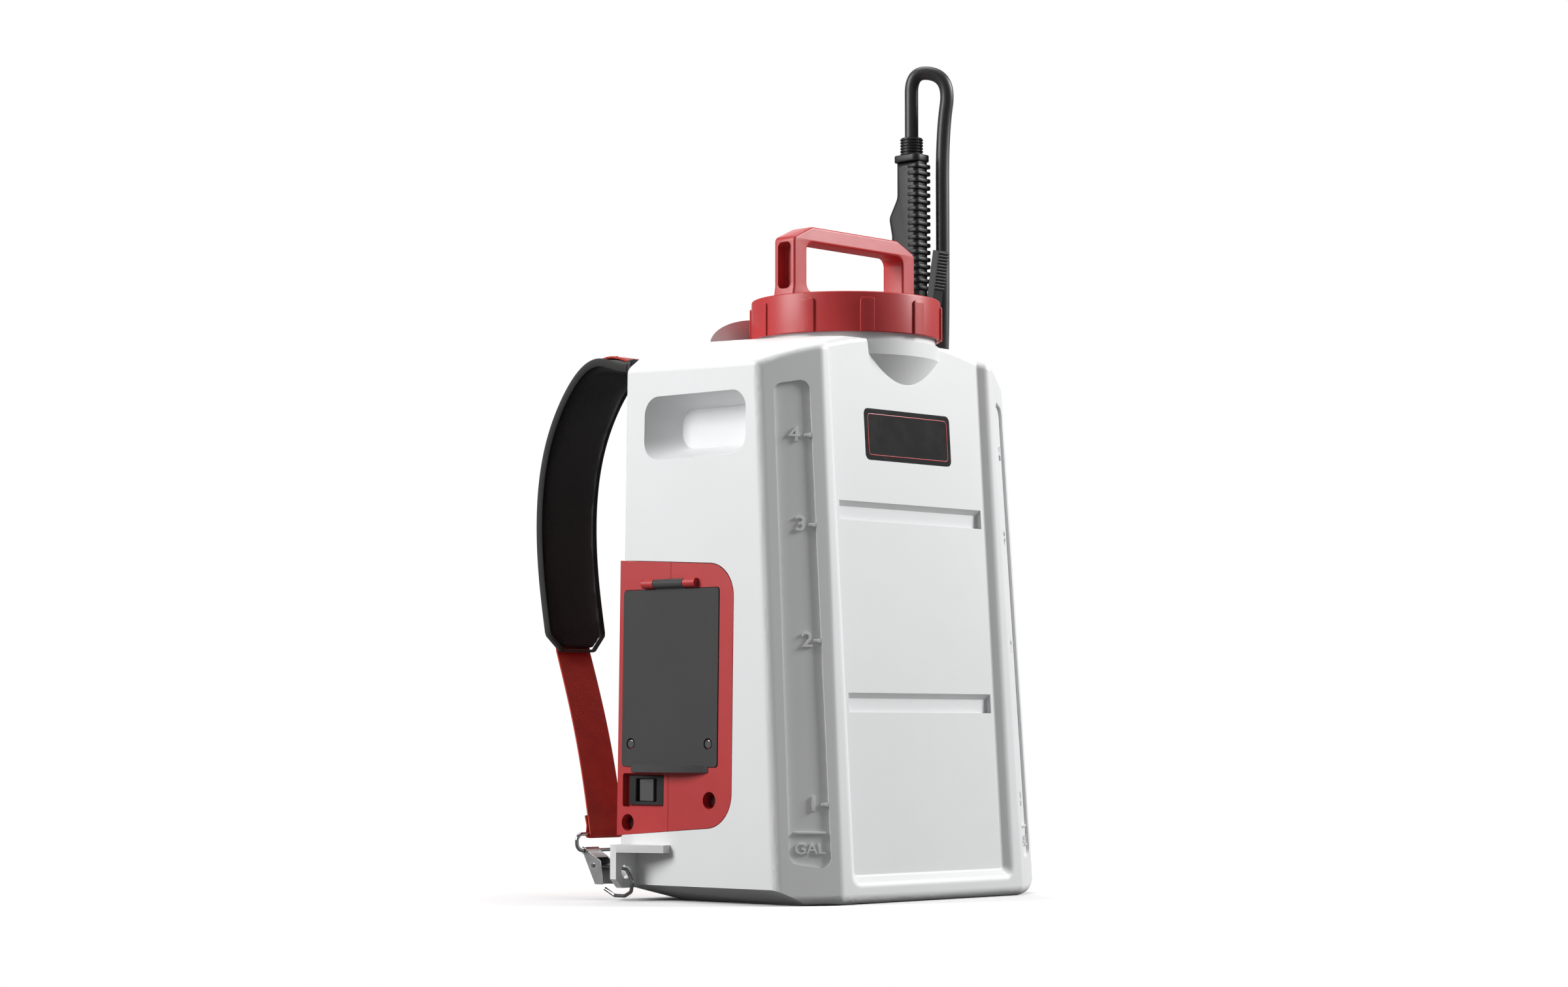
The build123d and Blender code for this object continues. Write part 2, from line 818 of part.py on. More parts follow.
with BuildPart() as cover_blank:
    extrude(pod_outline(side_plane(), 0), amount=-cover_wall)
    with BuildSketch(Plane.XZ.offset(-tank_back)):
        with BuildLine():
            Polyline(
                (-side_x(pod_bottom_back_z), pod_bottom_back_z + pod_gap),
                (pod_inner_x - pod_gap, pod_bottom_back_z + pod_gap),
                (pod_inner_x - pod_gap, pod_top_back_z - pod_gap),
                (-side_x(pod_top_back_z), pod_top_back_z - pod_gap),
                close=True,
            )
        make_face()
    extrude(amount=cover_wall)
    add(flap_block(flap_gap + cover_wall, (-ledge_back, -ledge_front + running_gap), 2 * flap_corner_r))
    add(flap_block(flap_gap, (-ledge_front, 1)), mode=Mode.SUBTRACT)
    add(flap_block(-flap_ledge, (-ledge_back - 1, 1)), mode=Mode.SUBTRACT)
    for place in stud_places:
        add(side_disc(place, flap_hole_inset, (-ledge_back, -ledge_front)))
    add(flap_block(-flap_ledge, (-ledge_back - 1 - flap_hole_inset, -ledge_back)), mode=Mode.SUBTRACT)
    for place in stud_places:
        add(side_disc(place, stud_stem_r + running_gap, (-ledge_back - 1, 1)), mode=Mode.SUBTRACT)
    add(side_box(*switch_well, (-switch_recess, -cover_wall + running_gap), flap_corner_r))
    well_hole = [(low + cover_wall / 2, high - cover_wall / 2) for low, high in switch_well]
    add(side_box(*well_hole, (-switch_recess + cover_wall / 2, 1), 2.0), mode=Mode.SUBTRACT)
    frame_middle = ((switch_front_y + switch_back_y) / 2, (switch_bottom_z + switch_top_z) / 2)
    frame_hole = [
        (frame_middle[0] - switch_frame_width / 2, frame_middle[0] + switch_frame_width / 2),
        (switch_bottom_z + 2 * cover_wall / 2, switch_top_z - 2 * cover_wall / 2),
    ]
    add(side_box(*frame_hole, (-switch_recess - 1, 1)), mode=Mode.SUBTRACT)
    for place in screw_places:
        add(side_disc(place, screw_well_r + cover_wall / 2, (-screw_well_depth, -cover_wall + running_gap)))
        add(side_disc(place, screw_well_r, (-screw_well_depth + cover_wall, 1)), mode=Mode.SUBTRACT)
        add(side_disc(place, screw_shank_r + 2 * running_gap, (-screw_well_depth - 1, 1)), mode=Mode.SUBTRACT)
    add(hinge_rod(hinge_r, hinge_front_y, hinge_back_y))
    barrel_room = (hinge_barrel_front - flap_gap, hinge_barrel_back + flap_gap)
    add(hinge_rod(hinge_r + flap_gap, *barrel_room), mode=Mode.SUBTRACT)
    add(
        side_box(
            barrel_room,
            (flap_top_z - 1, hinge_z),
            (-ledge_front, 1),
        ),
        mode=Mode.SUBTRACT,
    )
    add(hinge_rod(hinge_pin_r + hinge_clearance, hinge_front_y - 1, hinge_back_y + 1), mode=Mode.SUBTRACT)

with BuildPart() as cover_front:
    add(cover_blank.part)
    with BuildSketch(Plane.XY):
        with Locations((0, pod_seam_y - cover_seam / 2)):
            Rectangle(4 * tank_half_width, 4 * tank_back, align=(Align.CENTER, Align.MIN))
    extrude(amount=form_top, mode=Mode.SUBTRACT)
save(cover_front, "cover_front")

with BuildPart() as cover_rear:
    add(cover_blank.part)
    with BuildSketch(Plane.XY):
        with Locations((0, pod_seam_y + cover_seam / 2)):
            Rectangle(4 * tank_half_width, 4 * tank_back, align=(Align.CENTER, Align.MAX))
    extrude(amount=form_top, mode=Mode.SUBTRACT)
    with BuildSketch(Plane.XZ.offset(-tank_back - cover_wall)):
        with Locations((outlet_x, outlet_z)):
            Circle(port_r + running_gap)
    extrude(amount=3 * cover_wall, mode=Mode.SUBTRACT)
save(cover_rear, "cover_rear")

# ---------------------------------------------------------------- battery flap and its hinge
with BuildPart() as battery_flap:
    add(flap_block(0, (-flap_sink, flap_proud)))
    for place in stud_places:
        add(side_disc(place, flap_hole_r, (-ledge_back, 1)), mode=Mode.SUBTRACT)
    add(
        side_box(
            (hinge_barrel_front, hinge_barrel_back),
            (flap_top_z - 1, hinge_z),
            (-flap_sink, flap_proud),
        )
    )
    add(hinge_rod(hinge_r, hinge_barrel_front, hinge_barrel_back))
    add(hinge_rod(hinge_pin_r + hinge_clearance, hinge_front_y, hinge_back_y), mode=Mode.SUBTRACT)
    pull_z = flap_bottom_z + cover_wall / 2
    pull_half = (flap_back_y - flap_front_y) / 2 - flap_hole_inset
    lip_x = side_plane(seat_gap).from_local_coords((0, pull_z - flap_pull_height, 0)).X
    with BuildSketch(Plane.XY.offset(pull_z)):
        with BuildLine():
            ThreePointArc(
                (lip_x, flap_mid[0] - pull_half),
                (lip_x - flap_pull_proud, flap_mid[0]),
                (lip_x, flap_mid[0] + pull_half),
            )
            Line((lip_x, flap_mid[0] + pull_half), (lip_x, flap_mid[0] - pull_half))
        make_face()
    extrude(amount=-flap_pull_height)
    with BuildSketch(Plane.XY.offset(pull_z - flap_pull_wall)):
        with BuildLine():
            ThreePointArc(
                (lip_x, flap_mid[0] - pull_half + 2 * flap_pull_wall),
                (lip_x - flap_pull_proud + flap_pull_wall, flap_mid[0]),
                (lip_x, flap_mid[0] + pull_half - 2 * flap_pull_wall),
            )
            Line(
                (lip_x, flap_mid[0] + pull_half - 2 * flap_pull_wall),
                (lip_x, flap_mid[0] - pull_half + 2 * flap_pull_wall),
            )
        make_face()
    extrude(amount=-flap_pull_height, mode=Mode.SUBTRACT)
save(battery_flap, "battery_flap")

with BuildPart() as flap_pin:
    add(hinge_rod(hinge_pin_r, hinge_front_y, hinge_back_y))
save(flap_pin, "flap_pin")

with BuildPart() as catch_studs:
    for place in stud_places:
        add(side_disc(place, stud_stem_r, (-ledge_back, -ledge_front)))
        add(side_disc(place, stud_r, (-ledge_front, flap_proud)))
save(catch_studs, "catch_studs")

with BuildPart() as cover_screws:
    head_seat = -screw_well_depth + cover_wall
    for place in screw_places:
        add(side_disc(place, screw_head_r, (head_seat, head_seat + screw_head_height)))
        add(side_disc(place, screw_shank_r, (head_seat - screw_length, head_seat)))
save(cover_screws, "cover_screws")

# ---------------------------------------------------------------- tray, battery and terminals
tray_front = -ledge_back
tray_floor = -bay_depth
tray_reach = flap_gap + cover_wall
tray_outside = (
    (flap_front_y - tray_reach, tank_back - cover_wall - seat_gap),
    (flap_bottom_z - tray_reach, flap_top_z + tray_reach),
)
tray_inside = [(low + tray_wall, high - tray_wall) for low, high in tray_outside]
battery_front = -ledge_back - 2 * seat_gap - button_proud
battery_back = battery_front - battery_depth
battery_y = (flap_mid[0] - battery_width / 2, flap_mid[0] + battery_width / 2)
battery_height = (battery_z - battery_length / 2, battery_z + battery_length / 2)
button_y = (flap_mid[0] - button_width / 2, flap_mid[0] + button_width / 2)
button_z = (battery_height[1] - 3 * button_height, battery_height[1] - 2 * button_height)
block_half = battery_width / 3
blade_y = [flap_mid[0] + (n - (blade_count - 1) / 2) * blade_pitch for n in range(blade_count)]


def blade(y, grow):
    """One terminal blade standing on the terminal block, grown all round."""
    return side_box(
        (y - tray_wall / 4 - grow, y + tray_wall / 4 + grow),
        (battery_height[0] + button_height - grow, battery_height[0] + 2 * button_height + grow),
        (battery_back - grow, battery_back + blade_length + grow),
    )


with BuildPart() as battery_tray:
    add(side_box(*tray_outside, (tray_floor, tray_front), 2 * flap_corner_r))
    add(side_box(*tray_inside, (tray_floor + tray_wall, 1), flap_corner_r), mode=Mode.SUBTRACT)
save(battery_tray, "battery_tray")

with BuildPart() as battery_pack:
    add(side_box(battery_y, battery_height, (battery_back, battery_front), battery_edge_r))
    pocket = (battery_front - button_travel - 2 * button_proud - seat_gap, battery_front + 1)
    grown_y = (button_y[0] - seat_gap, button_y[1] + seat_gap)
    grown_z = (button_z[0] - seat_gap, button_z[1] + seat_gap)
    add(side_box(grown_y, grown_z, pocket), mode=Mode.SUBTRACT)
    for y in blade_y:
        add(blade(y, seat_gap), mode=Mode.SUBTRACT)
save(battery_pack, "battery_pack")

with BuildPart() as battery_button:
    add(side_box(button_y, button_z, (battery_front - 2 * button_proud, battery_front + button_proud)))
save(battery_button, "battery_button")

with BuildPart() as terminal_block:
    block_z = (battery_height[0], battery_height[1] - battery_length / 2)
    block_y = (flap_mid[0] - block_half, flap_mid[0] + block_half)
    add(side_box(block_y, block_z, (tray_floor + tray_wall, battery_back)))
save(terminal_block, "terminal_block")

with BuildPart() as terminal_blades:
    for y in blade_y:
        add(blade(y, 0))
save(terminal_blades, "terminal_blades")

board_out = tray_floor - 2 * cover_wall
with BuildPart() as control_board:
    board_y = (flap_mid[0] - board_width / 2, flap_mid[0] + board_width / 2)
    board_z = (battery_z - board_height / 2, battery_z + board_height / 2)
    add(side_box(board_y, board_z, (board_out, board_out + board_thickness)))
    for y in (board_y[0] + 2 * cover_wall, board_y[1] - 2 * cover_wall):
        for z in (board_z[0] + 2 * cover_wall, board_z[1] - 2 * cover_wall):
            add(side_disc((y, z), cover_wall, (board_out, tray_floor)))
save(control_board, "control_board")

# ---------------------------------------------------------------- rocker switch
rocker_axis_out = -switch_recess - rocker_back
frame_z = frame_hole[1]
rocker_z = (frame_z[0] + switch_frame_wall, frame_z[1] - switch_frame_wall)
rocker_half = rocker_width / 2
rocker_reach = rocker_half - rocker_inset

with BuildPart() as switch_frame:
    frame_y = (frame_hole[0][0] + running_gap, frame_hole[0][1] - running_gap)
    frame_height = (frame_z[0] + running_gap, frame_z[1] - running_gap)
    add(side_box(frame_y, frame_height, (-3 * switch_recess, -switch_recess / 2)))
    window_y = (frame_middle[0] - rocker_half - seat_gap, frame_middle[0] + rocker_half + seat_gap)
    window_z = (rocker_z[0] - seat_gap, rocker_z[1] + seat_gap)
    add(side_box(window_y, window_z, (-3 * switch_recess + switch_frame_wall, 1)), mode=Mode.SUBTRACT)
save(switch_frame, "switch_frame")

with BuildPart() as switch_rocker:
    pivot = side_plane(rocker_axis_out).from_local_coords((-frame_middle[0], rocker_z[0], 0))
    with BuildSketch(Plane.XY.offset(rocker_z[0])):
        with BuildLine():
            Polyline(
                (pivot.X - rocker_low, pivot.Y + rocker_reach),
                (pivot.X - (rocker_high + rocker_low) / 2 + rocker_dip, pivot.Y),
                (pivot.X - rocker_high, pivot.Y - rocker_reach),
                (pivot.X + rocker_back, pivot.Y - rocker_reach),
                (pivot.X + rocker_back, pivot.Y + rocker_reach),
                close=True,
            )
        make_face()
        with Locations((pivot.X, pivot.Y)):
            Circle(rocker_boss_r)
    extrude(amount=rocker_z[1] - rocker_z[0])
save(switch_rocker, "switch_rocker")

# ---------------------------------------------------------------- pump and motor
head_back = tank_back - cover_wall - cover_wall
head_middle = (pump_x, head_back - pump_depth / 2)
head_top = pump_z + pump_height - pump_height / 2
head_bottom = pump_z - pump_height / 2
motor_wall = tank_wall
bore_r = rotor_r + running_gap
chamber_r = rotor_head_r + motor_wall

with BuildPart() as pump_head:
    with BuildSketch(Plane.XY.offset(head_bottom)):
        with Locations(head_middle):
            RectangleRounded(pump_width, pump_depth, 3 * motor_wall)
    extrude(amount=pump_height)
    with BuildSketch(Plane.XY.offset(head_top)):
        with Locations(head_middle):
            Circle(chamber_r)
    extrude(amount=-2 * rotor_head_height, mode=Mode.SUBTRACT)
save(pump_head, "pump_head")

with BuildPart() as pump_cover:
    with BuildSketch(Plane.XY.offset(head_bottom)):
        with Locations(head_middle):
            RectangleRounded(pump_width, pump_depth, 3 * motor_wall)
    extrude(amount=-2 * motor_wall)
save(pump_cover, "pump_cover")

with BuildPart() as pump_screws:
    with BuildSketch(Plane.XY.offset(head_bottom - 2 * motor_wall)):
        with Locations(head_middle):
            with GridLocations(pump_width - 6 * motor_wall, pump_depth - 6 * motor_wall, 2, 2):
                Circle(motor_wall)
    extrude(amount=-motor_wall)
save(pump_screws, "pump_screws")

with BuildPart() as motor_can:
    with BuildSketch(Plane.XY.offset(head_top)):
        with Locations(head_middle):
            Circle(motor_r)
    extrude(amount=motor_length)
    with BuildSketch(Plane.XY.offset(head_top + motor_wall)):
        with Locations(head_middle):
            Circle(motor_r - motor_wall)
    extrude(amount=motor_length - 2 * motor_wall, mode=Mode.SUBTRACT)
    with BuildSketch(Plane.XY.offset(head_top)):
        with Locations(head_middle):
            Circle(bore_r)
    extrude(amount=motor_length, mode=Mode.SUBTRACT)
save(motor_can, "motor_can")

with BuildPart() as pump_rotor:
    with BuildSketch(Plane.XY.offset(head_top - 1.5 * rotor_head_height)):
        with Locations(head_middle):
            Circle(rotor_r)
    extrude(amount=motor_length + 2 * rotor_head_height)
    with BuildSketch(Plane.XY.offset(head_top - 1.5 * rotor_head_height)):
        with Locations((head_middle[0] + rotor_r / 2, head_middle[1])):
            Circle(rotor_head_r - rotor_r / 2)
    extrude(amount=rotor_head_height)
    with BuildSketch(Plane.XY.offset(head_top + 2 * motor_wall)):
        with Locations(head_middle):
            Circle(motor_r - 2 * motor_wall)
    extrude(amount=motor_length - 4 * motor_wall)
save(pump_rotor, "pump_rotor")

with BuildPart() as pump_bracket:
    with BuildSketch(Plane.XZ.offset(-head_back - cover_wall)):
        with Locations((pump_x, pump_z)):
            Rectangle(pump_width + 4 * cover_wall, pump_height)
        with Locations((outlet_x, outlet_z)):
            Circle(port_r + running_gap, mode=Mode.SUBTRACT)
    extrude(amount=cover_wall)
save(pump_bracket, "pump_bracket")

suction_face = pump_x + pump_width / 2
suction_end = pod_inner_x + 3 * tank_wall
with BuildPart() as suction_fitting:
    with BuildSketch(Plane.YZ.offset(suction_face)):
        with Locations((suction_y, suction_z)):
            Circle(port_r)
            Circle(port_r - port_wall, mode=Mode.SUBTRACT)
    extrude(amount=suction_end - suction_face)
save(suction_fitting, "suction_fitting")

with BuildPart() as suction_grommet:
    with BuildSketch(Plane.YZ.offset(pod_inner_x)):
        with Locations((suction_y, suction_z)):
            Circle(port_r + grommet_wall)
            Circle(port_r, mode=Mode.SUBTRACT)
    extrude(amount=tank_wall)
save(suction_grommet, "suction_grommet")

with BuildPart() as inlet_filter:
    with BuildSketch(Plane.YZ.offset(suction_end)):
        with Locations((suction_y, suction_z)):
            Circle(2 * port_r)
    extrude(amount=4 * port_r)
    with BuildSketch(Plane.YZ.offset(suction_end)):
        with Locations((suction_y, suction_z)):
            Circle(2 * port_r - port_wall)
    extrude(amount=4 * port_r - port_wall, mode=Mode.SUBTRACT)
    with BuildSketch(Plane.YZ.offset(suction_end)):
        with Locations((suction_y, suction_z)):
            Circle(2 * port_r)
            Circle(port_r - port_wall, mode=Mode.SUBTRACT)
    extrude(amount=port_wall)
save(inlet_filter, "inlet_filter")

outlet_y = tank_back + outlet_out
outlet_foot = outlet_z - 2 * port_r - port_wall
with BuildPart() as outlet_elbow:
    with BuildSketch(Plane.XZ.offset(-head_back)):
        with Locations((outlet_x, outlet_z)):
            Circle(port_r)
    extrude(amount=-(outlet_y - head_back))
    with BuildSketch(Plane.XY.offset(outlet_foot)):
        with Locations((outlet_x, outlet_y)):
            Circle(port_r)
    extrude(amount=outlet_z + port_r - outlet_foot)
    with BuildSketch(Plane.XY.offset(outlet_foot)):
        with Locations((outlet_x, outlet_y)):
            Circle(port_r - port_wall)
    extrude(amount=outlet_z - outlet_foot, mode=Mode.SUBTRACT)
    with BuildSketch(Plane.XZ.offset(-head_back)):
        with Locations((outlet_x, outlet_z)):
            Circle(port_r - port_wall)
    extrude(amount=-(outlet_y - head_back), mode=Mode.SUBTRACT)
save(outlet_elbow, "outlet_elbow")

with BuildPart() as outlet_nut:
    with BuildSketch(Plane.XY.offset(outlet_foot + outlet_nut_length / 3)):
        with Locations((outlet_x, outlet_y)):
            RegularPolygon(outlet_nut_r, 8)
            Circle(hose_r + seat_gap, mode=Mode.SUBTRACT)
    extrude(amount=-outlet_nut_length)
save(outlet_nut, "outlet_nut")

# ---------------------------------------------------------------- spray gun and lance
gun_front = gun_y - gun_depth / 2
gun_back = gun_y + gun_depth / 2
lever = Vector(0, trigger_tip_y - trigger_pivot_y, trigger_tip_z - trigger_pivot_z)
lever_front = lever.cross(Vector(-1, 0, 0)).normalized()
stem_reach = (trigger_pivot_y - trigger_tip_y) / (trigger_tip_z - trigger_pivot_z)
lever_back_y = trigger_pivot_y + trigger_thickness / 2 * math.sqrt(1 + stem_reach**2)
stem_tip = lever_back_y - stem_reach * (stem_z - stem_r - trigger_pivot_z) + seat_gap
stem_end = gun_front + gun_corner_r
cheek_top = stem_z + 2.5 * gun_corner_r


def gun_side(points, half_width):
    """Solid of the gun from a side view, both ways from its middle plane."""
    with BuildSketch(Plane.YZ.offset(gun_x - half_width)) as side_view:
        Polygon(*points, align=None)
    return extrude(side_view.sketch, amount=2 * half_width, mode=Mode.PRIVATE)


with BuildPart() as gun_body:
    with BuildSketch(Plane.XY.offset(gun_bottom_z)):
        with Locations((gun_x, gun_y)):
            RectangleRounded(gun_width, gun_depth, gun_corner_r)
    extrude(amount=gun_top_z - gun_bottom_z)
    with BuildSketch(Plane.XY.offset(gun_top_z)):
        with Locations((gun_x, gun_y)):
            RectangleRounded(flange_width, flange_depth, gun_corner_r)
    extrude(amount=flange_height)
    bulge = (
        (gun_y, gun_bulge_z + 3 * gun_bulge),
        (gun_back - 1, gun_bulge_z + 2 * gun_bulge),
        (gun_back + gun_bulge, gun_bulge_z),
        (gun_back + gun_bulge * 0.6, gun_bulge_z - 2 * gun_bulge),
        (gun_back + gun_bulge, lock_z + gun_bulge),
        (gun_back + gun_bulge, lock_z - gun_bulge),
        (gun_back - 1, gun_bottom_z + gun_bulge),
        (gun_y, gun_bottom_z + gun_bulge),
    )
    add(gun_side(bulge, gun_width / 2 - 2 * running_gap))
    rib_heights = [gun_top_z - (n + 0.7) * gun_rib_pitch for n in range(gun_rib_count)]
    rib_places = [(gun_x, gun_front + gun_rib_depth, z) for z in rib_heights]
    with Locations(*rib_places):
        Box(gun_width + gun_rib_depth, gun_depth / 3 + 2 * gun_rib_depth, gun_rib_width)
    cheeks = (
        (gun_front + gun_corner_r, cheek_top),
        (trigger_pivot_y - gun_corner_r * 0.7, trigger_pivot_z + gun_corner_r),
        (trigger_pivot_y - gun_corner_r * 0.7, trigger_pivot_z - gun_corner_r),
        (gun_front + gun_corner_r, gun_bottom_z),
    )
    add(gun_side(cheeks, gun_width / 2 - running_gap))
    slot = (
        (gun_front - seat_gap, cheek_top + 1),
        (trigger_tip_y - gun_depth, cheek_top + 1),
        (trigger_tip_y - gun_depth, gun_bottom_z - 1),
        (gun_front - seat_gap, gun_bottom_z - 1),
    )
    add(gun_side(slot, trigger_width / 2 + 2 * seat_gap), mode=Mode.SUBTRACT)
    with BuildSketch(Plane.YZ.offset(gun_x)):
        with Locations((trigger_pivot_y, trigger_pivot_z)):
            Circle(trigger_pin_r + running_gap)
    extrude(amount=gun_width, both=True, mode=Mode.SUBTRACT)
    with BuildSketch(Plane.XZ.offset(-stem_tip)):
        with Locations((gun_x, stem_z)):
            Circle(stem_r + running_gap)
    extrude(amount=-(stem_end + 2 * lock_travel - stem_tip), mode=Mode.SUBTRACT)
    with BuildSketch(Plane.XZ.offset(-gun_back - 2 * gun_bulge)):
        with Locations((gun_x, lock_z)):
            Circle(lock_r + running_gap)
    extrude(amount=2 * gun_bulge + 2 * lock_travel, mode=Mode.SUBTRACT)
    with BuildSketch(Plane.XY.offset(gun_bottom_z)):
        with Locations((gun_x, gun_y)):
            Circle(lance_r + running_gap)
    extrude(amount=gun_corner_r, mode=Mode.SUBTRACT)
save(gun_body, "gun_body")

with BuildPart() as hose_nut:
    nut_bottom = gun_top_z + flange_height
    with BuildSketch(Plane.XY.offset(nut_bottom)):
        with Locations((gun_x, gun_y)):
            Circle(hose_nut_r - 1)
    extrude(amount=hose_nut_length)
    ring_pitch = hose_nut_length / hose_nut_rings
    for n in range(hose_nut_rings):
        with BuildSketch(Plane.XY.offset(nut_bottom + n * ring_pitch)):
            with Locations((gun_x, gun_y)):
                Circle(hose_nut_r)
        extrude(amount=ring_pitch / 2)
    with BuildSketch(Plane.XY.offset(nut_bottom)):
        with Locations((gun_x, gun_y)):
            Circle(hose_r + seat_gap)
    extrude(amount=hose_nut_length, mode=Mode.SUBTRACT)
save(hose_nut, "hose_nut")

trigger_plane = Plane(
    origin=(gun_x, trigger_pivot_y, trigger_pivot_z),
    x_dir=(1, 0, 0),
    z_dir=lever_front,
)
with BuildPart() as trigger:
    half = trigger_thickness / 2
    with BuildSketch(trigger_plane.offset(-half)):
        Rectangle(trigger_width, lever.length, align=(Align.CENTER, Align.MIN))
    extrude(amount=trigger_thickness)
    with BuildSketch(Plane.YZ.offset(gun_x - trigger_width / 2)):
        with Locations((trigger_pivot_y, trigger_pivot_z)):
            Circle(half + 1)
    extrude(amount=trigger_width)
    with BuildSketch(trigger_plane.offset(half)):
        with Locations((0, lever.length - (trigger_rib_count + 0.5) / 2 * trigger_rib_pitch)):
            with GridLocations(0, trigger_rib_pitch, 1, trigger_rib_count):
                Rectangle(trigger_width, trigger_rib_pitch / 2)
    extrude(amount=trigger_rib_depth)
    with BuildSketch(Plane.YZ.offset(gun_x)):
        with Locations((trigger_pivot_y, trigger_pivot_z)):
            Circle(trigger_pin_r + running_gap)
    extrude(amount=trigger_width, both=True, mode=Mode.SUBTRACT)
save(trigger, "trigger")

with BuildPart() as trigger_pin:
    with BuildSketch(Plane.YZ.offset(gun_x)):
        with Locations((trigger_pivot_y, trigger_pivot_z)):
            Circle(trigger_pin_r)
    extrude(amount=gun_width / 2 - 4 * running_gap, both=True)
save(trigger_pin, "trigger_pin")

with BuildPart() as valve_stem:
    with BuildSketch(Plane.XZ.offset(-stem_tip)):
        with Locations((gun_x, stem_z)):
            Circle(stem_r)
    extrude(amount=-(stem_end - stem_tip))
save(valve_stem, "valve_stem")

with BuildPart() as trigger_lock:
    with BuildSketch(Plane.XZ.offset(-(gun_back + gun_bulge + lock_proud))):
        with Locations((gun_x, lock_z)):
            Circle(lock_r)
    extrude(amount=lock_proud + gun_bulge)
save(trigger_lock, "trigger_lock")

with BuildPart() as lance_tube:
    with BuildSketch(Plane.XY.offset(lance_bottom_z)):
        with Locations((gun_x, gun_y)):
            Circle(lance_r)
            Circle(lance_r - 1, mode=Mode.SUBTRACT)
    extrude(amount=gun_bottom_z + gun_corner_r - lance_bottom_z)
save(lance_tube, "lance_tube")

with BuildPart() as lance_nut:
    with BuildSketch(Plane.XY.offset(gun_bottom_z)):
        with Locations((gun_x, gun_y)):
            RegularPolygon(lance_nut_r, 12)
            Circle(lance_r + running_gap, mode=Mode.SUBTRACT)
    extrude(amount=-lance_nut_length)
save(lance_nut, "lance_nut")

with BuildPart() as nozzle:
    nozzle_top = lance_bottom_z + nozzle_tip
    with BuildSketch(Plane.XY.offset(nozzle_top)):
        with Locations((gun_x, gun_y)):
            Circle(nozzle_r)
    extrude(amount=-nozzle_length)
    with BuildSketch(Plane.XY.offset(nozzle_top - nozzle_length)):
        with Locations((gun_x, gun_y)):
            Circle(nozzle_r)
    with BuildSketch(Plane.XY.offset(nozzle_top - nozzle_length - nozzle_tip)):
        with Locations((gun_x, gun_y)):
            Circle(nozzle_r / 2)
    loft()
    with BuildSketch(Plane.XY.offset(nozzle_top)):
        with Locations((gun_x, gun_y)):
            Circle(lance_r + running_gap)
    extrude(amount=-nozzle_tip - seat_gap, mode=Mode.SUBTRACT)
    with BuildSketch(Plane.XY.offset(nozzle_top)):
        with Locations((gun_x, gun_y)):
            Circle(1.0)
    extrude(amount=-4 * nozzle_length, mode=Mode.SUBTRACT)
save(nozzle, "nozzle")

with BuildPart() as lance_clips:
    clip_inner = lance_r + running_gap
    for z in clip_heights:
        with BuildSketch(Plane.XY.offset(z)):
            with Locations((gun_x, gun_y)):
                Circle(clip_inner + clip_wall)
            with BuildLine():
                Polyline(
                    (side_x(z), gun_y - clip_inner),
                    (gun_x, gun_y - clip_inner),
                    (gun_x, gun_y + clip_inner),
                    (side_x(z), gun_y + clip_inner),
                    close=True,
                )
            make_face()
            with Locations((gun_x, gun_y)):
                Circle(clip_inner, mode=Mode.SUBTRACT)
            with BuildLine():
                mouth = math.radians(clip_mouth / 2)
                reach = 2 * (clip_inner + clip_wall)
                Polyline(
                    (gun_x, gun_y),
                    (gun_x + reach * math.cos(mouth), gun_y + reach * math.sin(mouth)),
                    (gun_x + reach * math.cos(mouth), gun_y - reach * math.sin(mouth)),
                    close=True,
                )
            make_face(mode=Mode.SUBTRACT)
        extrude(amount=clip_height)
save(lance_clips, "lance_clips")

# ---------------------------------------------------------------- harness
strap_path = (
    (tank_back + anchor_thickness + seat_gap, 427.0),
    (139.0, 434.0),
    (181.0, 402.0),
    (206.5, 326.0),
    (203.0, 250.0),
    (194.0, 200.0),
)


strap_end = Vector(0, *strap_path[-1])
strap_middle = Spline(*[(0, y, z) for y, z in strap_path], tangents=((0, 1, 0), (0, -0.18, -1)))
pad_half = pad_thickness / 2
webbing_near = pad_half + webbing_gap
webbing_far = webbing_near + webbing_thickness
ring_inner_r = ring_wire_r + seat_gap
loop_r = ring_inner_r + webbing_thickness
ring_bar_high = ring_z + ring_height / 2 - ring_wire_r
ring_bar_low = ring_z - ring_height / 2 + ring_wire_r


def strap_band(near, far, width, samples=14):
    """Curved band that follows the shoulder strap, between two offsets from its middle line."""
    inner_edge = []
    outer_edge = []
    for n in range(samples + 1):
        place = strap_middle.position_at(n / samples)
        along = strap_middle.tangent_at(n / samples)
        out = Vector(0, -along.Z, along.Y).normalized()
        inner_edge.append(place + out * near)
        outer_edge.append(place + out * far)
    with BuildSketch(Plane.YZ) as band:
        with BuildLine():
            Spline(*[(p.Y, p.Z) for p in inner_edge])
            Line((inner_edge[-1].Y, inner_edge[-1].Z), (outer_edge[-1].Y, outer_edge[-1].Z))
            Spline(*[(p.Y, p.Z) for p in reversed(outer_edge)])
            Line((outer_edge[0].Y, outer_edge[0].Z), (inner_edge[0].Y, inner_edge[0].Z))
        make_face()
    return extrude(band.sketch, amount=width / 2, both=True, mode=Mode.PRIVATE)


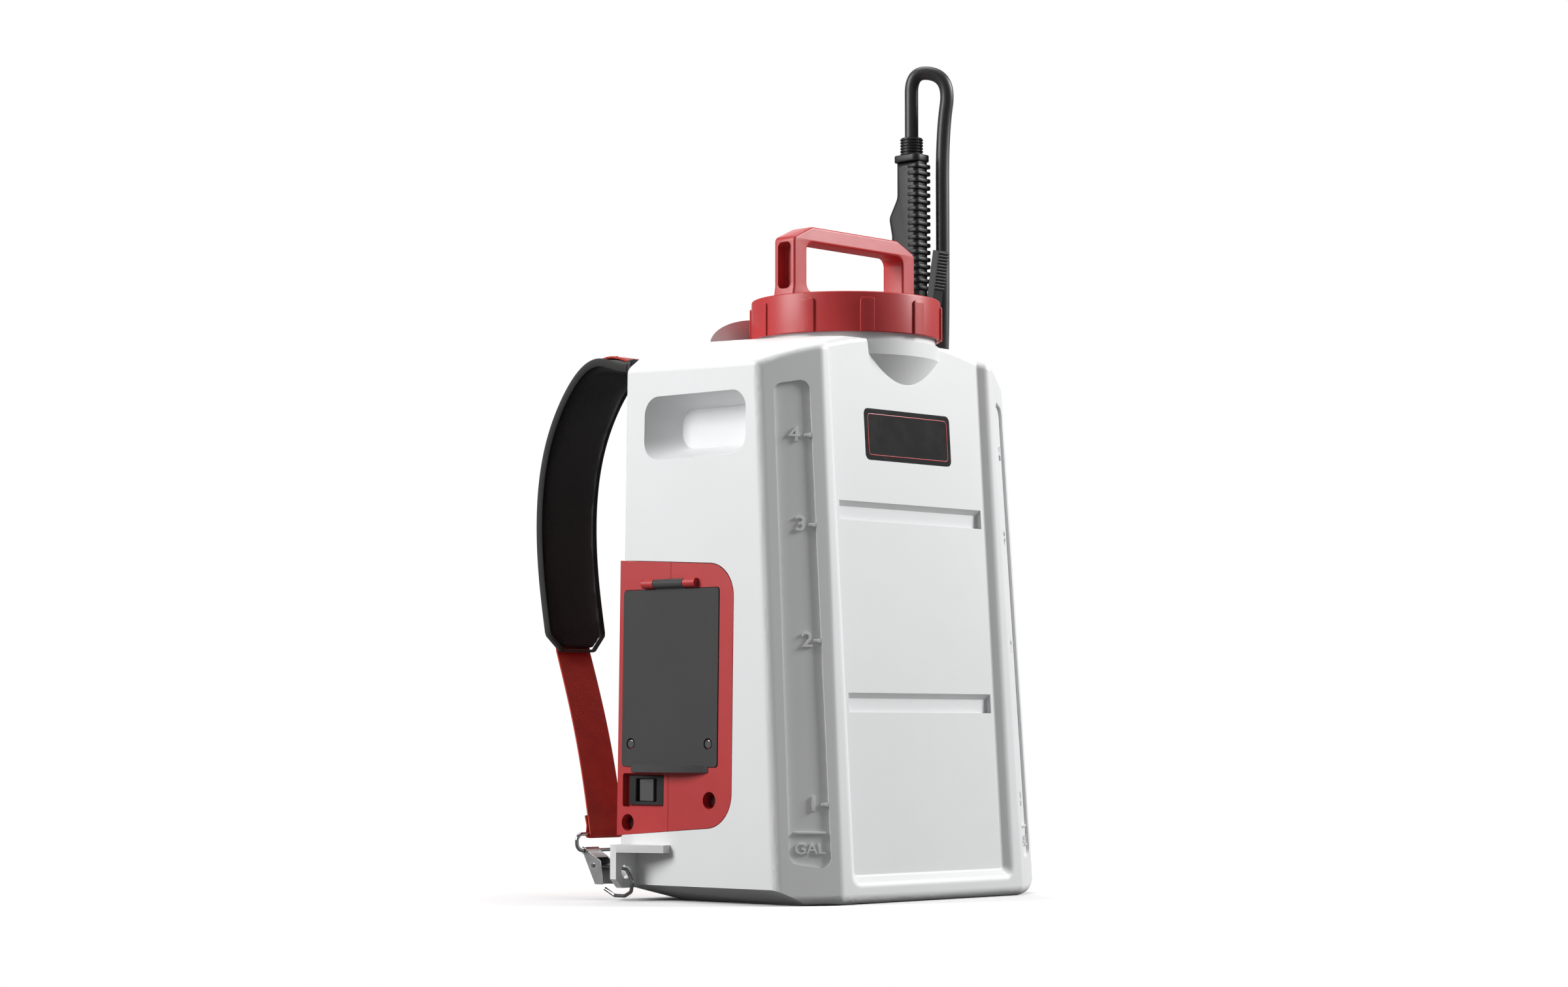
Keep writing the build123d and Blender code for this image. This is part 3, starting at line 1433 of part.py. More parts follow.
def webbing_tail(side):
    """Lower run of webbing, from the pad's end to the loop around the ring."""
    along = strap_middle.tangent_at(1)
    out = Vector(0, -along.Z, along.Y).normalized()
    top = strap_end + out * ((webbing_near + webbing_far) / 2) + Vector(side * strap_x, 0, 0)
    foot = Vector(side * ring_x, ring_y + (ring_inner_r + loop_r) / 2, ring_bar_high)
    run = (foot - top).normalized()
    plane_top = Plane(origin=top, x_dir=(1, 0, 0), z_dir=Vector(0, run.Y, run.Z))
    plane_foot = Plane(origin=foot, x_dir=(1, 0, 0), z_dir=Vector(0, 0, -1))
    with BuildSketch(plane_top) as upper:
        Rectangle(webbing_width, webbing_thickness)
    with BuildSketch(plane_foot) as lower:
        Rectangle(webbing_width, webbing_thickness)
    return loft([upper.sketch, lower.sketch], mode=Mode.PRIVATE)


for name, side in (("left", -1), ("right", 1)):
    strap_middle_x = Location((side * strap_x, 0, 0))

    with BuildPart() as strap_pad:
        add(strap_middle_x * strap_band(-pad_half, pad_half, strap_width))
        across = strap_pad.edges().filter_by(lambda e: abs(e.tangent_at(0.5).X) < 0.01)
        tip = across.filter_by(lambda e: e.length < 2 * pad_thickness)
        chamfer(tip.sort_by(Axis.Z)[:2], strap_width / 5)
    save(strap_pad, f"{name}_strap_pad")

    with BuildPart() as webbing:
        add(strap_middle_x * strap_band(webbing_near, webbing_far, webbing_width))
        add(webbing_tail(side))
        with BuildSketch(Plane.YZ.offset(side * ring_x - webbing_width / 2)):
            with Locations((ring_y, ring_bar_high)):
                Circle(loop_r)
                Circle(ring_inner_r, mode=Mode.SUBTRACT)
        extrude(amount=webbing_width)
    save(webbing, f"{name}_strap_webbing")

    with BuildPart() as strap_anchor:
        anchor_front = tank_back + anchor_thickness
        with BuildSketch(Plane.XZ.offset(-anchor_front)):
            with Locations((side * strap_x, anchor_z - anchor_height / 2)):
                RectangleRounded(strap_width, anchor_height, anchor_screw_r)
        extrude(amount=anchor_thickness)
    save(strap_anchor, f"{name}_strap_anchor")

    with BuildPart() as strap_ring:
        with BuildSketch(Plane.XZ.offset(-ring_y), mode=Mode.PRIVATE) as ring_path:
            with Locations((side * ring_x, ring_z)):
                RectangleRounded(
                    ring_length - 2 * ring_wire_r,
                    ring_height - 2 * ring_wire_r,
                    (ring_height - 2 * ring_wire_r) / 2.2,
                )
        ring_wire = ring_path.sketch.face().outer_wire()
        with BuildSketch(Plane(origin=ring_wire @ 0, z_dir=ring_wire % 0)) as ring_section:
            Circle(ring_wire_r)
        sweep(ring_section.sketch, path=ring_wire)
    save(strap_ring, f"{name}_strap_ring")

    with BuildPart() as strap_clip:
        clip_top = Vector(0, ring_y, ring_bar_low)
        clip_foot_y = clip_pivot_y - clip_width / 5
        clip_foot_z = clip_pivot_z - clip_width
        with BuildSketch(Plane.YZ.offset(side * clip_x - clip_width / 2)):
            with Locations((clip_top.Y, clip_top.Z)):
                Circle(ring_inner_r + clip_sheet)
            Polygon(
                (clip_top.Y - 2 * ring_inner_r, clip_top.Z),
                (clip_top.Y + ring_inner_r, clip_top.Z),
                (clip_foot_y + clip_sheet, clip_foot_z),
                (clip_foot_y - clip_width / 2, clip_foot_z),
                (clip_pivot_y - clip_width / 2, clip_pivot_z + clip_width / 4),
                align=None,
            )
            with Locations((clip_top.Y, clip_top.Z)):
                Circle(ring_inner_r, mode=Mode.SUBTRACT)
            with Locations((clip_pivot_y, clip_pivot_z)):
                Circle(hook_wire_r + running_gap, mode=Mode.SUBTRACT)
        extrude(amount=clip_width)
        with BuildSketch(Plane.YZ.offset(side * clip_x - clip_width / 2 + clip_sheet)):
            Polygon(
                (clip_top.Y - 3 * ring_inner_r, clip_top.Z - 2 * ring_inner_r),
                (clip_top.Y - ring_inner_r, clip_top.Z - 2 * ring_inner_r),
                (clip_foot_y - clip_sheet, clip_foot_z - 1),
                (clip_foot_y - clip_width, clip_foot_z - 1),
                (clip_pivot_y - clip_width, clip_pivot_z + clip_width / 4),
                align=None,
            )
        extrude(amount=clip_width - 2 * clip_sheet, mode=Mode.SUBTRACT)
    save(strap_clip, f"{name}_strap_clip")

    with BuildPart() as clip_hook:
        with BuildLine() as hook_line:
            FilletPolyline(
                (side * clip_x, clip_pivot_y, clip_pivot_z),
                (side * clip_x, 91.0, 26.5),
                (side * clip_x, 77.0, 24.5),
                (side * clip_x, 70.5, 15.0),
                (side * clip_x, 72.0, 7.0),
                (side * clip_x, 79.0, 3.6),
                (side * clip_x, 90.0, 3.6),
                (side * clip_x, 101.0, 8.5),
                radius=3.0,
            )
        with BuildSketch(Plane(origin=hook_line.line @ 0, z_dir=hook_line.line % 0)):
            Circle(hook_wire_r - running_gap)
        sweep()
        with BuildSketch(Plane.YZ.offset(side * clip_x)):
            with Locations((clip_pivot_y, clip_pivot_z)):
                Circle(hook_wire_r)
        extrude(amount=clip_width / 2 + 1, both=True)
    save(clip_hook, f"{name}_clip_hook")

with BuildPart() as anchor_screws:
    with BuildSketch(Plane.XZ.offset(-tank_back - anchor_thickness)):
        for side in (-1, 1):
            with Locations((side * strap_x, anchor_z - 0.75 * anchor_height)):
                with GridLocations(anchor_screw_pitch, 0, 2, 1):
                    Circle(anchor_screw_r)
    extrude(amount=-anchor_screw_r / 2)
save(anchor_screws, "anchor_screws")

# ---------------------------------------------------------------- hose
hose_end_z = gun_top_z + flange_height
hose_route = (
    (outlet_x, outlet_y, outlet_foot),
    (outlet_x, outlet_y, 54.0),
    (-43.0, 122.0, 33.5),
    (-39.0, 137.5, 17.5),
    (-28.5, 157.0, 8.5),
    (-5.0, 180.0, 8.0),
    (33.0, 195.0, 8.0),
    (80.0, 198.0, 8.0),
    (125.0, 187.0, 8.0),
    (162.0, 164.0, 10.5),
    (188.0, 139.0, 30.0),
    (201.0, 121.0, 68.0),
    (203.0, 108.0, 114.0),
    (198.0, 100.0, 165.0),
    (193.0, 95.5, 218.0),
    (190.0, 90.0, 272.0),
    (190.0, 79.0, 324.0),
    (190.0, 64.5, 374.0),
    (188.5, 51.5, 420.0),
    (187.0, 46.4, 474.0),
    (187.0, 46.0, 566.0),
    (187.0, 46.3, 655.0),
    (187.0, 36.8, 704.0),
    (gun_x + 0.4, gun_y + 0.4, 712.5),
    (gun_x, gun_y, 672.0),
    (gun_x, gun_y, hose_end_z),
)


def corner_radii(points):
    """Largest smooth bend at each inner point: 0.45 of the shorter run over tan(half the turn)."""
    radii = []
    for before, here, after in zip(points, points[1:], points[2:]):
        run_in = Vector(*here) - Vector(*before)
        run_out = Vector(*after) - Vector(*here)
        turn = math.radians(run_in.get_angle(run_out))
        radii.append(0.45 * min(run_in.length, run_out.length) / math.tan(turn / 2))
    return radii


hose_radii = corner_radii(hose_route)
with BuildPart() as hose:
    with BuildLine() as hose_line:
        FilletPolyline(*hose_route, radius=hose_radii)
    with BuildSketch(Plane(origin=hose_line.line @ 0, z_dir=hose_line.line % 0)):
        Circle(hose_r)
    sweep()
save(hose, "hose")
hose_length = hose_line.wires()[0].length
print("hose length", round(hose_length, 1))
print("hose radii", [round(radius, 1) for radius in hose_radii])
hose_ratio = hose.part.volume / (math.pi * hose_r**2 * hose_length)
print("hose volume over section times length", round(hose_ratio, 4))
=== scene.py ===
"""Battery backpack sprayer: finishes, soft goods, fine parts and studio.

Frame: metres, +Z up, origin at the centre of the tank's flat underside, -Y the label
face, +Y the wearer's side, -X the drive compartment, +X the side that carries the lance.
"""

from __future__ import annotations

import logging
import math
from collections.abc import Callable
from dataclasses import dataclass
from enum import Enum

import bmesh
import bpy
import numpy as np
from mathutils import Matrix, Vector


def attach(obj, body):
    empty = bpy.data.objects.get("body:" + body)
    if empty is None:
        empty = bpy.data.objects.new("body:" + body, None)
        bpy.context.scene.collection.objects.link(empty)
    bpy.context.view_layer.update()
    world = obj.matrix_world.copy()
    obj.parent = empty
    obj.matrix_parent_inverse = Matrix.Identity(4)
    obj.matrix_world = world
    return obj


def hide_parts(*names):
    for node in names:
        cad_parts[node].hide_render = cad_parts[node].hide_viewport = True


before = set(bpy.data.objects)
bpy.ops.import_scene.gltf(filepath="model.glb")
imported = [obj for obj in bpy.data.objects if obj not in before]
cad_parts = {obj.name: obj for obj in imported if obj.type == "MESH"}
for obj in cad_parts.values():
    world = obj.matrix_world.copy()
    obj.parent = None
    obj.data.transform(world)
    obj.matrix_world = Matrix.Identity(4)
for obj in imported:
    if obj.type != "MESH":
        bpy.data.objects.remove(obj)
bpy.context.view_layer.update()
LOG = logging.getLogger("sprayer")
MM = 0.001
ARC_STEPS = 6
SHARP_ANGLE = 32
WHITE = (1, 1, 1, 1)
RIGHT = Vector((1, 0, 0))
BACK = Vector((0, 1, 0))
FRONT = Vector((0, -1, 0))
UP = Vector((0, 0, 1))

Point2 = tuple[float, float]
Point3 = tuple[float, float, float]
Loop = list[Point2]
Colour = tuple[float, float, float]
Ring = list[tuple[Vector, Point2]]
Piece = bpy.types.Object
Finish = bpy.types.Material
Socket = bpy.types.NodeSocket


# ---------------------------------------------------------------- outlines and meshes
def rounded(corners: Loop, radius: float | list[float]) -> Loop:
    """Closed outline with rounded corners.

    Args:
        corners: the outline's corners, in order.
        radius: one radius for all corners, or one for each.

    Returns:
        The points of the rounded outline.
    """
    radii = radius if isinstance(radius, list) else [radius] * len(corners)
    loop: Loop = []
    for index, (corner, r) in enumerate(zip(corners, radii)):
        here = Vector(corner)
        back = (Vector(corners[index - 1]) - here).normalized()
        ahead = (Vector(corners[(index + 1) % len(corners)]) - here).normalized()
        half = back.angle(ahead) / 2
        if r <= 0 or abs(half - math.pi / 2) < 0.01:
            loop.append(corner)
            continue
        middle = here + (back + ahead).normalized() * (r / math.sin(half))
        first = here + back * (r / math.tan(half)) - middle
        last = here + ahead * (r / math.tan(half)) - middle
        sweep = first.angle_signed(last)
        for step in range(ARC_STEPS + 1):
            turned = first.copy()
            turned.rotate(Matrix.Rotation(-sweep * step / ARC_STEPS, 2))
            loop.append((middle.x + turned.x, middle.y + turned.y))
    return loop


def rectangle(width: float, height: float, radius: float, centre: Point2 = (0, 0)) -> Loop:
    """Rounded rectangle about a centre.

    Args:
        width: its size across.
        height: its size up.
        radius: radius of its corners.
        centre: its middle.

    Returns:
        The points of the outline.
    """
    x, y = width / 2, height / 2
    corners = [(-x, -y), (x, -y), (x, y), (-x, y)]
    return rounded([(a + centre[0], b + centre[1]) for a, b in corners], radius)


def plane(origin: Vector, x_dir: Vector, z_dir: Vector) -> Matrix:
    """Matrix of a plane from its origin, its local x and its normal.

    Args:
        origin: a point of the plane.
        x_dir: direction of its local x.
        z_dir: its normal.

    Returns:
        The plane's matrix.
    """
    z = z_dir.normalized()
    x = (x_dir - z * x_dir.dot(z)).normalized()
    y = z.cross(x)
    turn = Matrix((x, y, z)).transposed().to_4x4()
    return Matrix.Translation(origin) @ turn


def new_object(name: str, data: bpy.types.ID) -> Piece:
    """Object for a mesh, curve, lamp or camera, linked into the scene.

    Args:
        name: the object's name.
        data: its mesh, curve, lamp or camera.

    Returns:
        The object.
    """
    piece = bpy.data.objects.new(name, data)
    bpy.context.scene.collection.objects.link(piece)
    return piece


def baked(source: Piece, name: str) -> Piece:
    """Plain mesh object of a curve, text or modified object, which is removed.

    Args:
        source: the object to be baked.
        name: the name of the mesh and its object.

    Returns:
        The mesh object.
    """
    graph = bpy.context.evaluated_depsgraph_get()
    mesh = bpy.data.meshes.new_from_object(source.evaluated_get(graph))
    mesh.name = name
    bpy.data.objects.remove(source)
    return new_object(name, mesh)


def tidied(piece: Piece, placed: Matrix | None = None) -> Piece:
    """Merge a piece's doubles, turn its faces outwards, shade it smooth and place it.

    Args:
        piece: a mesh object.
        placed: where the mesh goes.

    Returns:
        The same object.
    """
    mesh = bmesh.new()
    mesh.from_mesh(piece.data)
    bmesh.ops.remove_doubles(mesh, verts=mesh.verts, dist=1e-6)
    bmesh.ops.recalc_face_normals(mesh, faces=mesh.faces)
    smooth_by_angle(mesh, SHARP_ANGLE)
    mesh.to_mesh(piece.data)
    mesh.free()
    if placed is not None:
        piece.data.transform(placed)
    return piece


def smooth_by_angle(mesh: bmesh.types.BMesh, angle: float) -> None:
    """Shade all faces smooth, with edges over the angle kept sharp.

    Args:
        mesh: the mesh.
        angle: the most degrees that an edge is smooth over.
    """
    for face in mesh.faces:
        face.smooth = True
    for edge in mesh.edges:
        edge.smooth = edge.calc_face_angle(0.0) < math.radians(angle)


def curve_through(name: str, dimensions: str, kind: str, lines: list[list[Point3]]) -> bpy.types.Curve:
    """Curve with one spline through each line of points.

    Args:
        name: the curve's name.
        dimensions: 2D or 3D.
        kind: the splines' type.
        lines: the points of each spline.

    Returns:
        The curve.
    """
    curve = bpy.data.curves.new(name, "CURVE")
    curve.dimensions = dimensions
    for line in lines:
        spline = curve.splines.new(kind)
        spline.points.add(len(line) - 1)
        for point, place in zip(spline.points, line):
            point.co = (*place, 1)
    return curve


def plate(
    name: str, loops: list[Loop], thickness: float, edge: float, placed: Matrix, steps: int = 3
) -> Piece:
    """Flat piece with rounded edges, from its outline and the outlines of its holes.

    Args:
        name: the piece's name.
        loops: the outline first, then its holes, in the plane's own x and y.
        thickness: along the plane's normal, centred on the plane.
        edge: radius of the edges.
        placed: the plane.
        steps: segments across each edge's rounding.

    Returns:
        The piece, a mesh.
    """
    curve = curve_through(name, "2D", "POLY", [[(x, y, 0) for x, y in loop] for loop in loops])
    curve.fill_mode = "BOTH"
    for spline in curve.splines:
        spline.use_cyclic_u = True
    curve.extrude = thickness / 2 - edge
    curve.bevel_depth = edge
    curve.bevel_resolution = steps
    curve.offset = -edge
    return tidied(baked(new_object(name, curve), name), placed)


def lathe(name: str, profile: Loop, axis: Vector, segments: int) -> Piece:
    """Round piece from a profile of radius and height, about an upright axis.

    Args:
        name: the piece's name.
        profile: closed outline of (radius, height) points.
        axis: a point on the axis, which heights are counted from.
        segments: faces around.

    Returns:
        The piece, a mesh.
    """
    turns = [2 * math.pi * n / segments for n in range(segments)]
    points = [(r * math.cos(a), r * math.sin(a), z) for r, z in profile for a in turns]
    faces = []
    for row in range(len(profile)):
        after = (row + 1) % len(profile)
        for n in range(segments):
            m = (n + 1) % segments
            faces.append((row * segments + n, row * segments + m, after * segments + m, after * segments + n))
    mesh = bpy.data.meshes.new(name)
    mesh.from_pydata(points, [], faces)
    return tidied(new_object(name, mesh), Matrix.Translation(axis))


def applied(piece: Piece) -> None:
    """Turn a piece's modifiers into its mesh.

    Args:
        piece: a mesh object.
    """
    graph = bpy.context.evaluated_depsgraph_get()
    piece.data = bpy.data.meshes.new_from_object(piece.evaluated_get(graph))
    piece.modifiers.clear()


def carved(piece: Piece, cutter: Piece) -> None:
    """Cut one mesh out of another and remove the cutter.

    Args:
        piece: the mesh that is cut.
        cutter: the mesh that is taken away.
    """
    cut = piece.modifiers.new("Cut", "BOOLEAN")
    cut.object = cutter
    cut.solver = "EXACT"
    applied(piece)
    bpy.data.objects.remove(cutter)


def refined(node: str, bevel: float = 0.0, angle: float = 30, segments: int = 2) -> Piece:
    """Copy of a CAD node with merged vertices, smooth shading and softened edges.

    Args:
        node: the CAD node's name.
        bevel: width of the softened edges, or none.
        angle: edges sharper than this many degrees are softened.
        segments: faces across each softened edge.

    Returns:
        The copy, not yet dressed.
    """
    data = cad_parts[node].data.copy()
    data.materials.clear()
    mesh = bmesh.new()
    mesh.from_mesh(data)
    bmesh.ops.remove_doubles(mesh, verts=mesh.verts, dist=2e-6)
    bmesh.ops.dissolve_degenerate(mesh, dist=1e-6, edges=mesh.edges)
    if bevel:
        bmesh.ops.dissolve_limit(
            mesh, angle_limit=math.radians(0.6), verts=mesh.verts, edges=mesh.edges, use_dissolve_boundaries=False
        )
    smooth_by_angle(mesh, angle)
    mesh.to_mesh(data)
    mesh.free()
    piece = new_object(f"{node}_skin", data)
    if bevel:
        edges = piece.modifiers.new("Edges", "BEVEL")
        edges.width = bevel
        edges.segments = segments
        edges.limit_method = "ANGLE"
        edges.angle_limit = math.radians(angle)
        edges.use_clamp_overlap = True
        edges.miter_outer = "MITER_ARC"
    normals = piece.modifiers.new("Normals", "WEIGHTED_NORMAL")
    normals.keep_sharp = True
    return piece


def points_of(mesh: bpy.types.Mesh) -> np.ndarray:
    """Places of a mesh's vertices.

    Args:
        mesh: the mesh.

    Returns:
        An array with one row of x, y and z for each vertex.
    """
    places = np.empty(3 * len(mesh.vertices))
    mesh.vertices.foreach_get("co", places)
    return places.reshape(-1, 3)


def swollen(piece: Piece, pressure: float, most: float) -> None:
    """Fill a closed form as foam fills its cover, by cloth under pressure.

    Args:
        piece: the closed form, a little slimmer than the finished pad.
        pressure: pressure inside the cover.
        most: how far any point may move.
    """
    even = piece.modifiers.new("Even", "REMESH")
    even.mode = "VOXEL"
    even.voxel_size = 0.004
    applied(piece)
    start = points_of(piece.data)
    cloth = piece.modifiers.new("Cloth", "CLOTH")
    cloth.settings.use_pressure = True
    cloth.settings.uniform_pressure_force = pressure
    cloth.settings.effector_weights.gravity = 0
    for number in range(1, 21):
        bpy.context.scene.frame_set(number)
    applied(piece)
    moved = points_of(piece.data) - start
    far = np.linalg.norm(moved, axis=1, keepdims=True)
    moved *= np.minimum(1.0, most / np.maximum(far, 1e-9))
    piece.data.vertices.foreach_set("co", (start + moved).ravel())
    bpy.context.scene.frame_set(1)
    finer = piece.modifiers.new("Finer", "SUBSURF")
    finer.levels = finer.render_levels = 1
    applied(piece)
    piece.data.shade_smooth()


# ---------------------------------------------------------------- node trees
class Nodes:
    """Node tree with short calls that add and feed its nodes."""

    def __init__(self, tree: bpy.types.NodeTree) -> None:
        """Start from an empty tree."""
        self.tree = tree
        tree.nodes.clear()

    def add(self, kind: str, inputs: dict[str | int, object] | None = None, **settings: object) -> bpy.types.Node:
        """Add a node: settings are its properties, inputs its sockets' values or the sockets that feed them.

        Args:
            kind: the node's type.
            inputs: values for its sockets, or the sockets that feed them.
            settings: its properties.

        Returns:
            The node.
        """
        node = self.tree.nodes.new(kind)
        for key, value in settings.items():
            setattr(node, key, value)
        for key, value in (inputs or {}).items():
            if isinstance(value, Socket):
                self.tree.links.new(value, node.inputs[key])
            else:
                node.inputs[key].default_value = value
        return node

    def reckon(self, operation: str, *values: object) -> Socket:
        """Result of one arithmetic step on numbers or sockets."""
        return self.add("ShaderNodeMath", dict(enumerate(values)), operation=operation).outputs[0]


class Layout(Enum):
    """How a repeated piece is laid out."""

    ROW = "row"
    RING = "ring"
    PATH = "path"


class Repeater(Nodes):
    """Geometry Nodes tree that sets copies of one small piece in a row, a ring or along a path."""

    sockets: dict[str, str] = {
        "Item": "Object",
        "Count": "Int",
        "Start": "Vector",
        "Step": "Vector",
        "Radius": "Float",
        "Angle": "Float",
        "Path": "Object",
        "Finish": "Material",
    }

    def __init__(self, layout: Layout, name: str) -> None:
        """Build the tree with its named inputs.

        Args:
            layout: how the copies are laid out.
            name: start of the tree's name.
        """
        super().__init__(bpy.data.node_groups.new(f"{name}_{layout.value}", "GeometryNodeTree"))
        self.layout = layout
        face = self.tree.interface
        face.new_socket(name="Geometry", in_out="OUTPUT", socket_type="NodeSocketGeometry")
        self.identifiers = {
            key: face.new_socket(name=key, in_out="INPUT", socket_type=f"NodeSocket{kind}").identifier
            for key, kind in self.sockets.items()
        }
        self.given = self.add("NodeGroupInput").outputs
        self.build()

    def build(self) -> None:
        """Points, copies on them, and the finish."""
        item = self.add("GeometryNodeObjectInfo", {"Object": self.given["Item"]}, transform_space="ORIGINAL")
        fed = self.on_path() if self.layout is Layout.PATH else self.on_spots()
        copies = self.add("GeometryNodeInstanceOnPoints", {"Instance": item.outputs["Geometry"], **fed})
        real = self.add("GeometryNodeRealizeInstances", {"Geometry": copies.outputs["Instances"]})
        worn = {"Geometry": real.outputs["Geometry"], "Material": self.given["Finish"]}
        dress = self.add("GeometryNodeSetMaterial", worn)
        self.add("NodeGroupOutput", {"Geometry": dress.outputs["Geometry"]})

    def on_path(self) -> dict[str, Socket]:
        """Points along the path, with their turns.

        Returns:
            The sockets that feed the copies.
        """
        path = self.add("GeometryNodeObjectInfo", {"Object": self.given["Path"]}, transform_space="ORIGINAL")
        fed = {"Curve": path.outputs["Geometry"], "Count": self.given["Count"]}
        points = self.add("GeometryNodeCurveToPoints", fed, mode="COUNT")
        return {key: points.outputs[key] for key in ("Points", "Rotation")}

    def on_spots(self) -> dict[str, Socket]:
        """Points in a row, or in a ring with their turns outwards.

        Returns:
            The sockets that feed the copies.
        """
        given, turned = self.given, {}
        index = self.add("GeometryNodeInputIndex").outputs[0]
        if self.layout is Layout.ROW:
            fed = {0: index, 1: given["Step"], 2: given["Start"]}
            place = self.add("ShaderNodeVectorMath", fed, operation="MULTIPLY_ADD")
        else:
            share = self.reckon("DIVIDE", index, given["Count"])
            turn = self.reckon("MULTIPLY_ADD", share, 2 * math.pi, given["Angle"])
            flat = self.add("ShaderNodeCombineXYZ", {0: self.reckon("COSINE", turn), 1: self.reckon("SINE", turn)})
            heading = self.add("ShaderNodeCombineXYZ", {2: turn})
            turned["Rotation"] = self.add("FunctionNodeEulerToRotation", {0: heading.outputs[0]}).outputs[0]
            fed = {0: flat.outputs[0], "Scale": given["Radius"]}
            reach = self.add("ShaderNodeVectorMath", fed, operation="SCALE")
            place = self.add("ShaderNodeVectorMath", {0: reach.outputs[0], 1: given["Start"]}, operation="ADD")
        points = self.add("GeometryNodePoints", {"Count": given["Count"], "Position": place.outputs[0]})
        return {"Points": points.outputs["Points"], **turned}

    def run(
        self, name: str, item: Piece, finish: Finish, **values: object
    ) -> Piece:
        """Lay out the copies and return them as one plain mesh.

        Args:
            name: the finished piece's name.
            item: the small piece that is repeated, made at the origin, which is removed.
            finish: the material.
            values: the tree's other inputs by name.

        Returns:
            The finished piece.
        """
        carrier = new_object(name, bpy.data.meshes.new(name))
        modifier = carrier.modifiers.new("Repeat", "NODES")
        modifier.node_group = self.tree
        for key, value in {"Item": item, "Finish": finish, **values}.items():
            modifier[self.identifiers[key]] = value
        bpy.context.view_layer.update()
        made = baked(carrier, name)
        bpy.data.objects.remove(item)
        return made


# ---------------------------------------------------------------- finishes
class Weave(Nodes):
    """Node tree of one material, with short calls for the nodes that the finishes share."""

    def __init__(self, name: str) -> None:
        """Start an empty material.

        Args:
            name: the material's name.
        """
        self.material = bpy.data.materials.new(name)
        self.material.use_nodes = True
        super().__init__(self.material.node_tree)
        self.output = self.add("ShaderNodeOutputMaterial")

    def place(self, scale: tuple[float, float, float] = (1, 1, 1), source: str = "Object") -> Socket:
        """Coordinates, stretched by scale.

        Args:
            scale: stretch along each axis.
            source: the coordinates' output.

        Returns:
            The stretched coordinates.
        """
        where = self.add("ShaderNodeTexCoord")
        mapping = self.add("ShaderNodeMapping", {"Vector": where.outputs[source], "Scale": scale})
        return mapping.outputs[0]

    def noise(
        self, scale: float, detail: float = 2, where: Socket | None = None
    ) -> Socket:
        """Noise between 0 and 1."""
        vector = where or self.place()
        return self.add("ShaderNodeTexNoise", {"Vector": vector, "Scale": scale, "Detail": detail}).outputs[0]

    def mixed(self, factor: Socket, first: Colour, second: Colour) -> Socket:
        """Colour between two, by a factor.

        Args:
            factor: share of the second colour.
            first: the first colour.
            second: the second colour.

        Returns:
            The colour.
        """
        ramp = self.add("ShaderNodeValToRGB", {"Fac": factor})
        ramp.color_ramp.elements[0].position = 0.3
        ramp.color_ramp.elements[0].color = (*first, 1)
        ramp.color_ramp.elements[1].position = 0.7
        ramp.color_ramp.elements[1].color = (*second, 1)
        return ramp.outputs[0]

    def ranged(self, value: Socket, low: float, high: float) -> Socket:
        """Value mapped from 0..1 to a range."""
        return self.add("ShaderNodeMapRange", {0: value, 3: low, 4: high}).outputs[0]

    def drifting(self, scale: float, detail: float, low: float, high: float) -> Socket:
        """Value that drifts across the surface between two."""
        return self.ranged(self.noise(scale, detail), low, high)

    def cloudy(
        self, colour: Colour, scale: float, detail: float, dark: float, light: float
    ) -> Socket:
        """Colour that drifts between a darker and a lighter share of itself."""
        return self.mixed(self.noise(scale, detail), shaded(colour, dark), shaded(colour, light))

    def bump(
        self, height: Socket, strength: float, depth: float, under: Socket | None = None
    ) -> Socket:
        """Surface relief from a height, over another relief when that is given.

        Args:
            height: the relief's height.
            strength: how strongly it shows.
            depth: its depth in metres.
            under: the relief below it.

        Returns:
            The surface's normal.
        """
        fed = {"Height": height, "Strength": strength, "Distance": depth}
        if under is not None:
            fed["Normal"] = under
        return self.add("ShaderNodeBump", fed).outputs[0]

    def surfaced(self, shader: bpy.types.Node) -> Finish:
        """Lead a shader to the material's surface."""
        self.tree.links.new(shader.outputs[0], self.output.inputs[0])
        return self.material

    def finish(self, **inputs: object) -> Finish:
        """Principled surface with the given sockets, named with underscores for spaces."""
        named = {key.replace("_", " "): value for key, value in inputs.items()}
        return self.surfaced(self.add("ShaderNodeBsdfPrincipled", named))


def shaded(colour: Colour, share: float) -> Colour:
    """Colour made lighter or darker by a share."""
    return tuple(min(1.0, c * share) for c in colour)


@dataclass(frozen=True)
class Recipe:
    """A finish by its name and colour."""

    name: str
    colour: Colour

    def make(self) -> Finish:
        """Build the material."""
        return self.surface(Weave(self.name))


@dataclass(frozen=True)
class MouldedPlastic(Recipe):
    """Moulded plastic with a fine grain and faint cloudiness."""

    roughness: float = 0.38
    grain: float = 1400
    grain_depth: float = 0.00002
    cloud: float = 0.05
    shine: float = 0.38

    def surface(self, nodes: Weave) -> Finish:
        """Fill the material's tree.

        Args:
            nodes: the material's empty tree.

        Returns:
            The material.
        """
        tint = nodes.cloudy(self.colour, 9, 4, 1 - self.cloud, 1 + self.cloud)
        rough = nodes.drifting(70, 3, self.roughness - 0.04, self.roughness + 0.06)
        grain = nodes.bump(nodes.noise(self.grain, 3), 0.35, self.grain_depth)
        return nodes.finish(Base_Color=tint, Roughness=rough, Normal=grain, Specular_IOR_Level=self.shine)


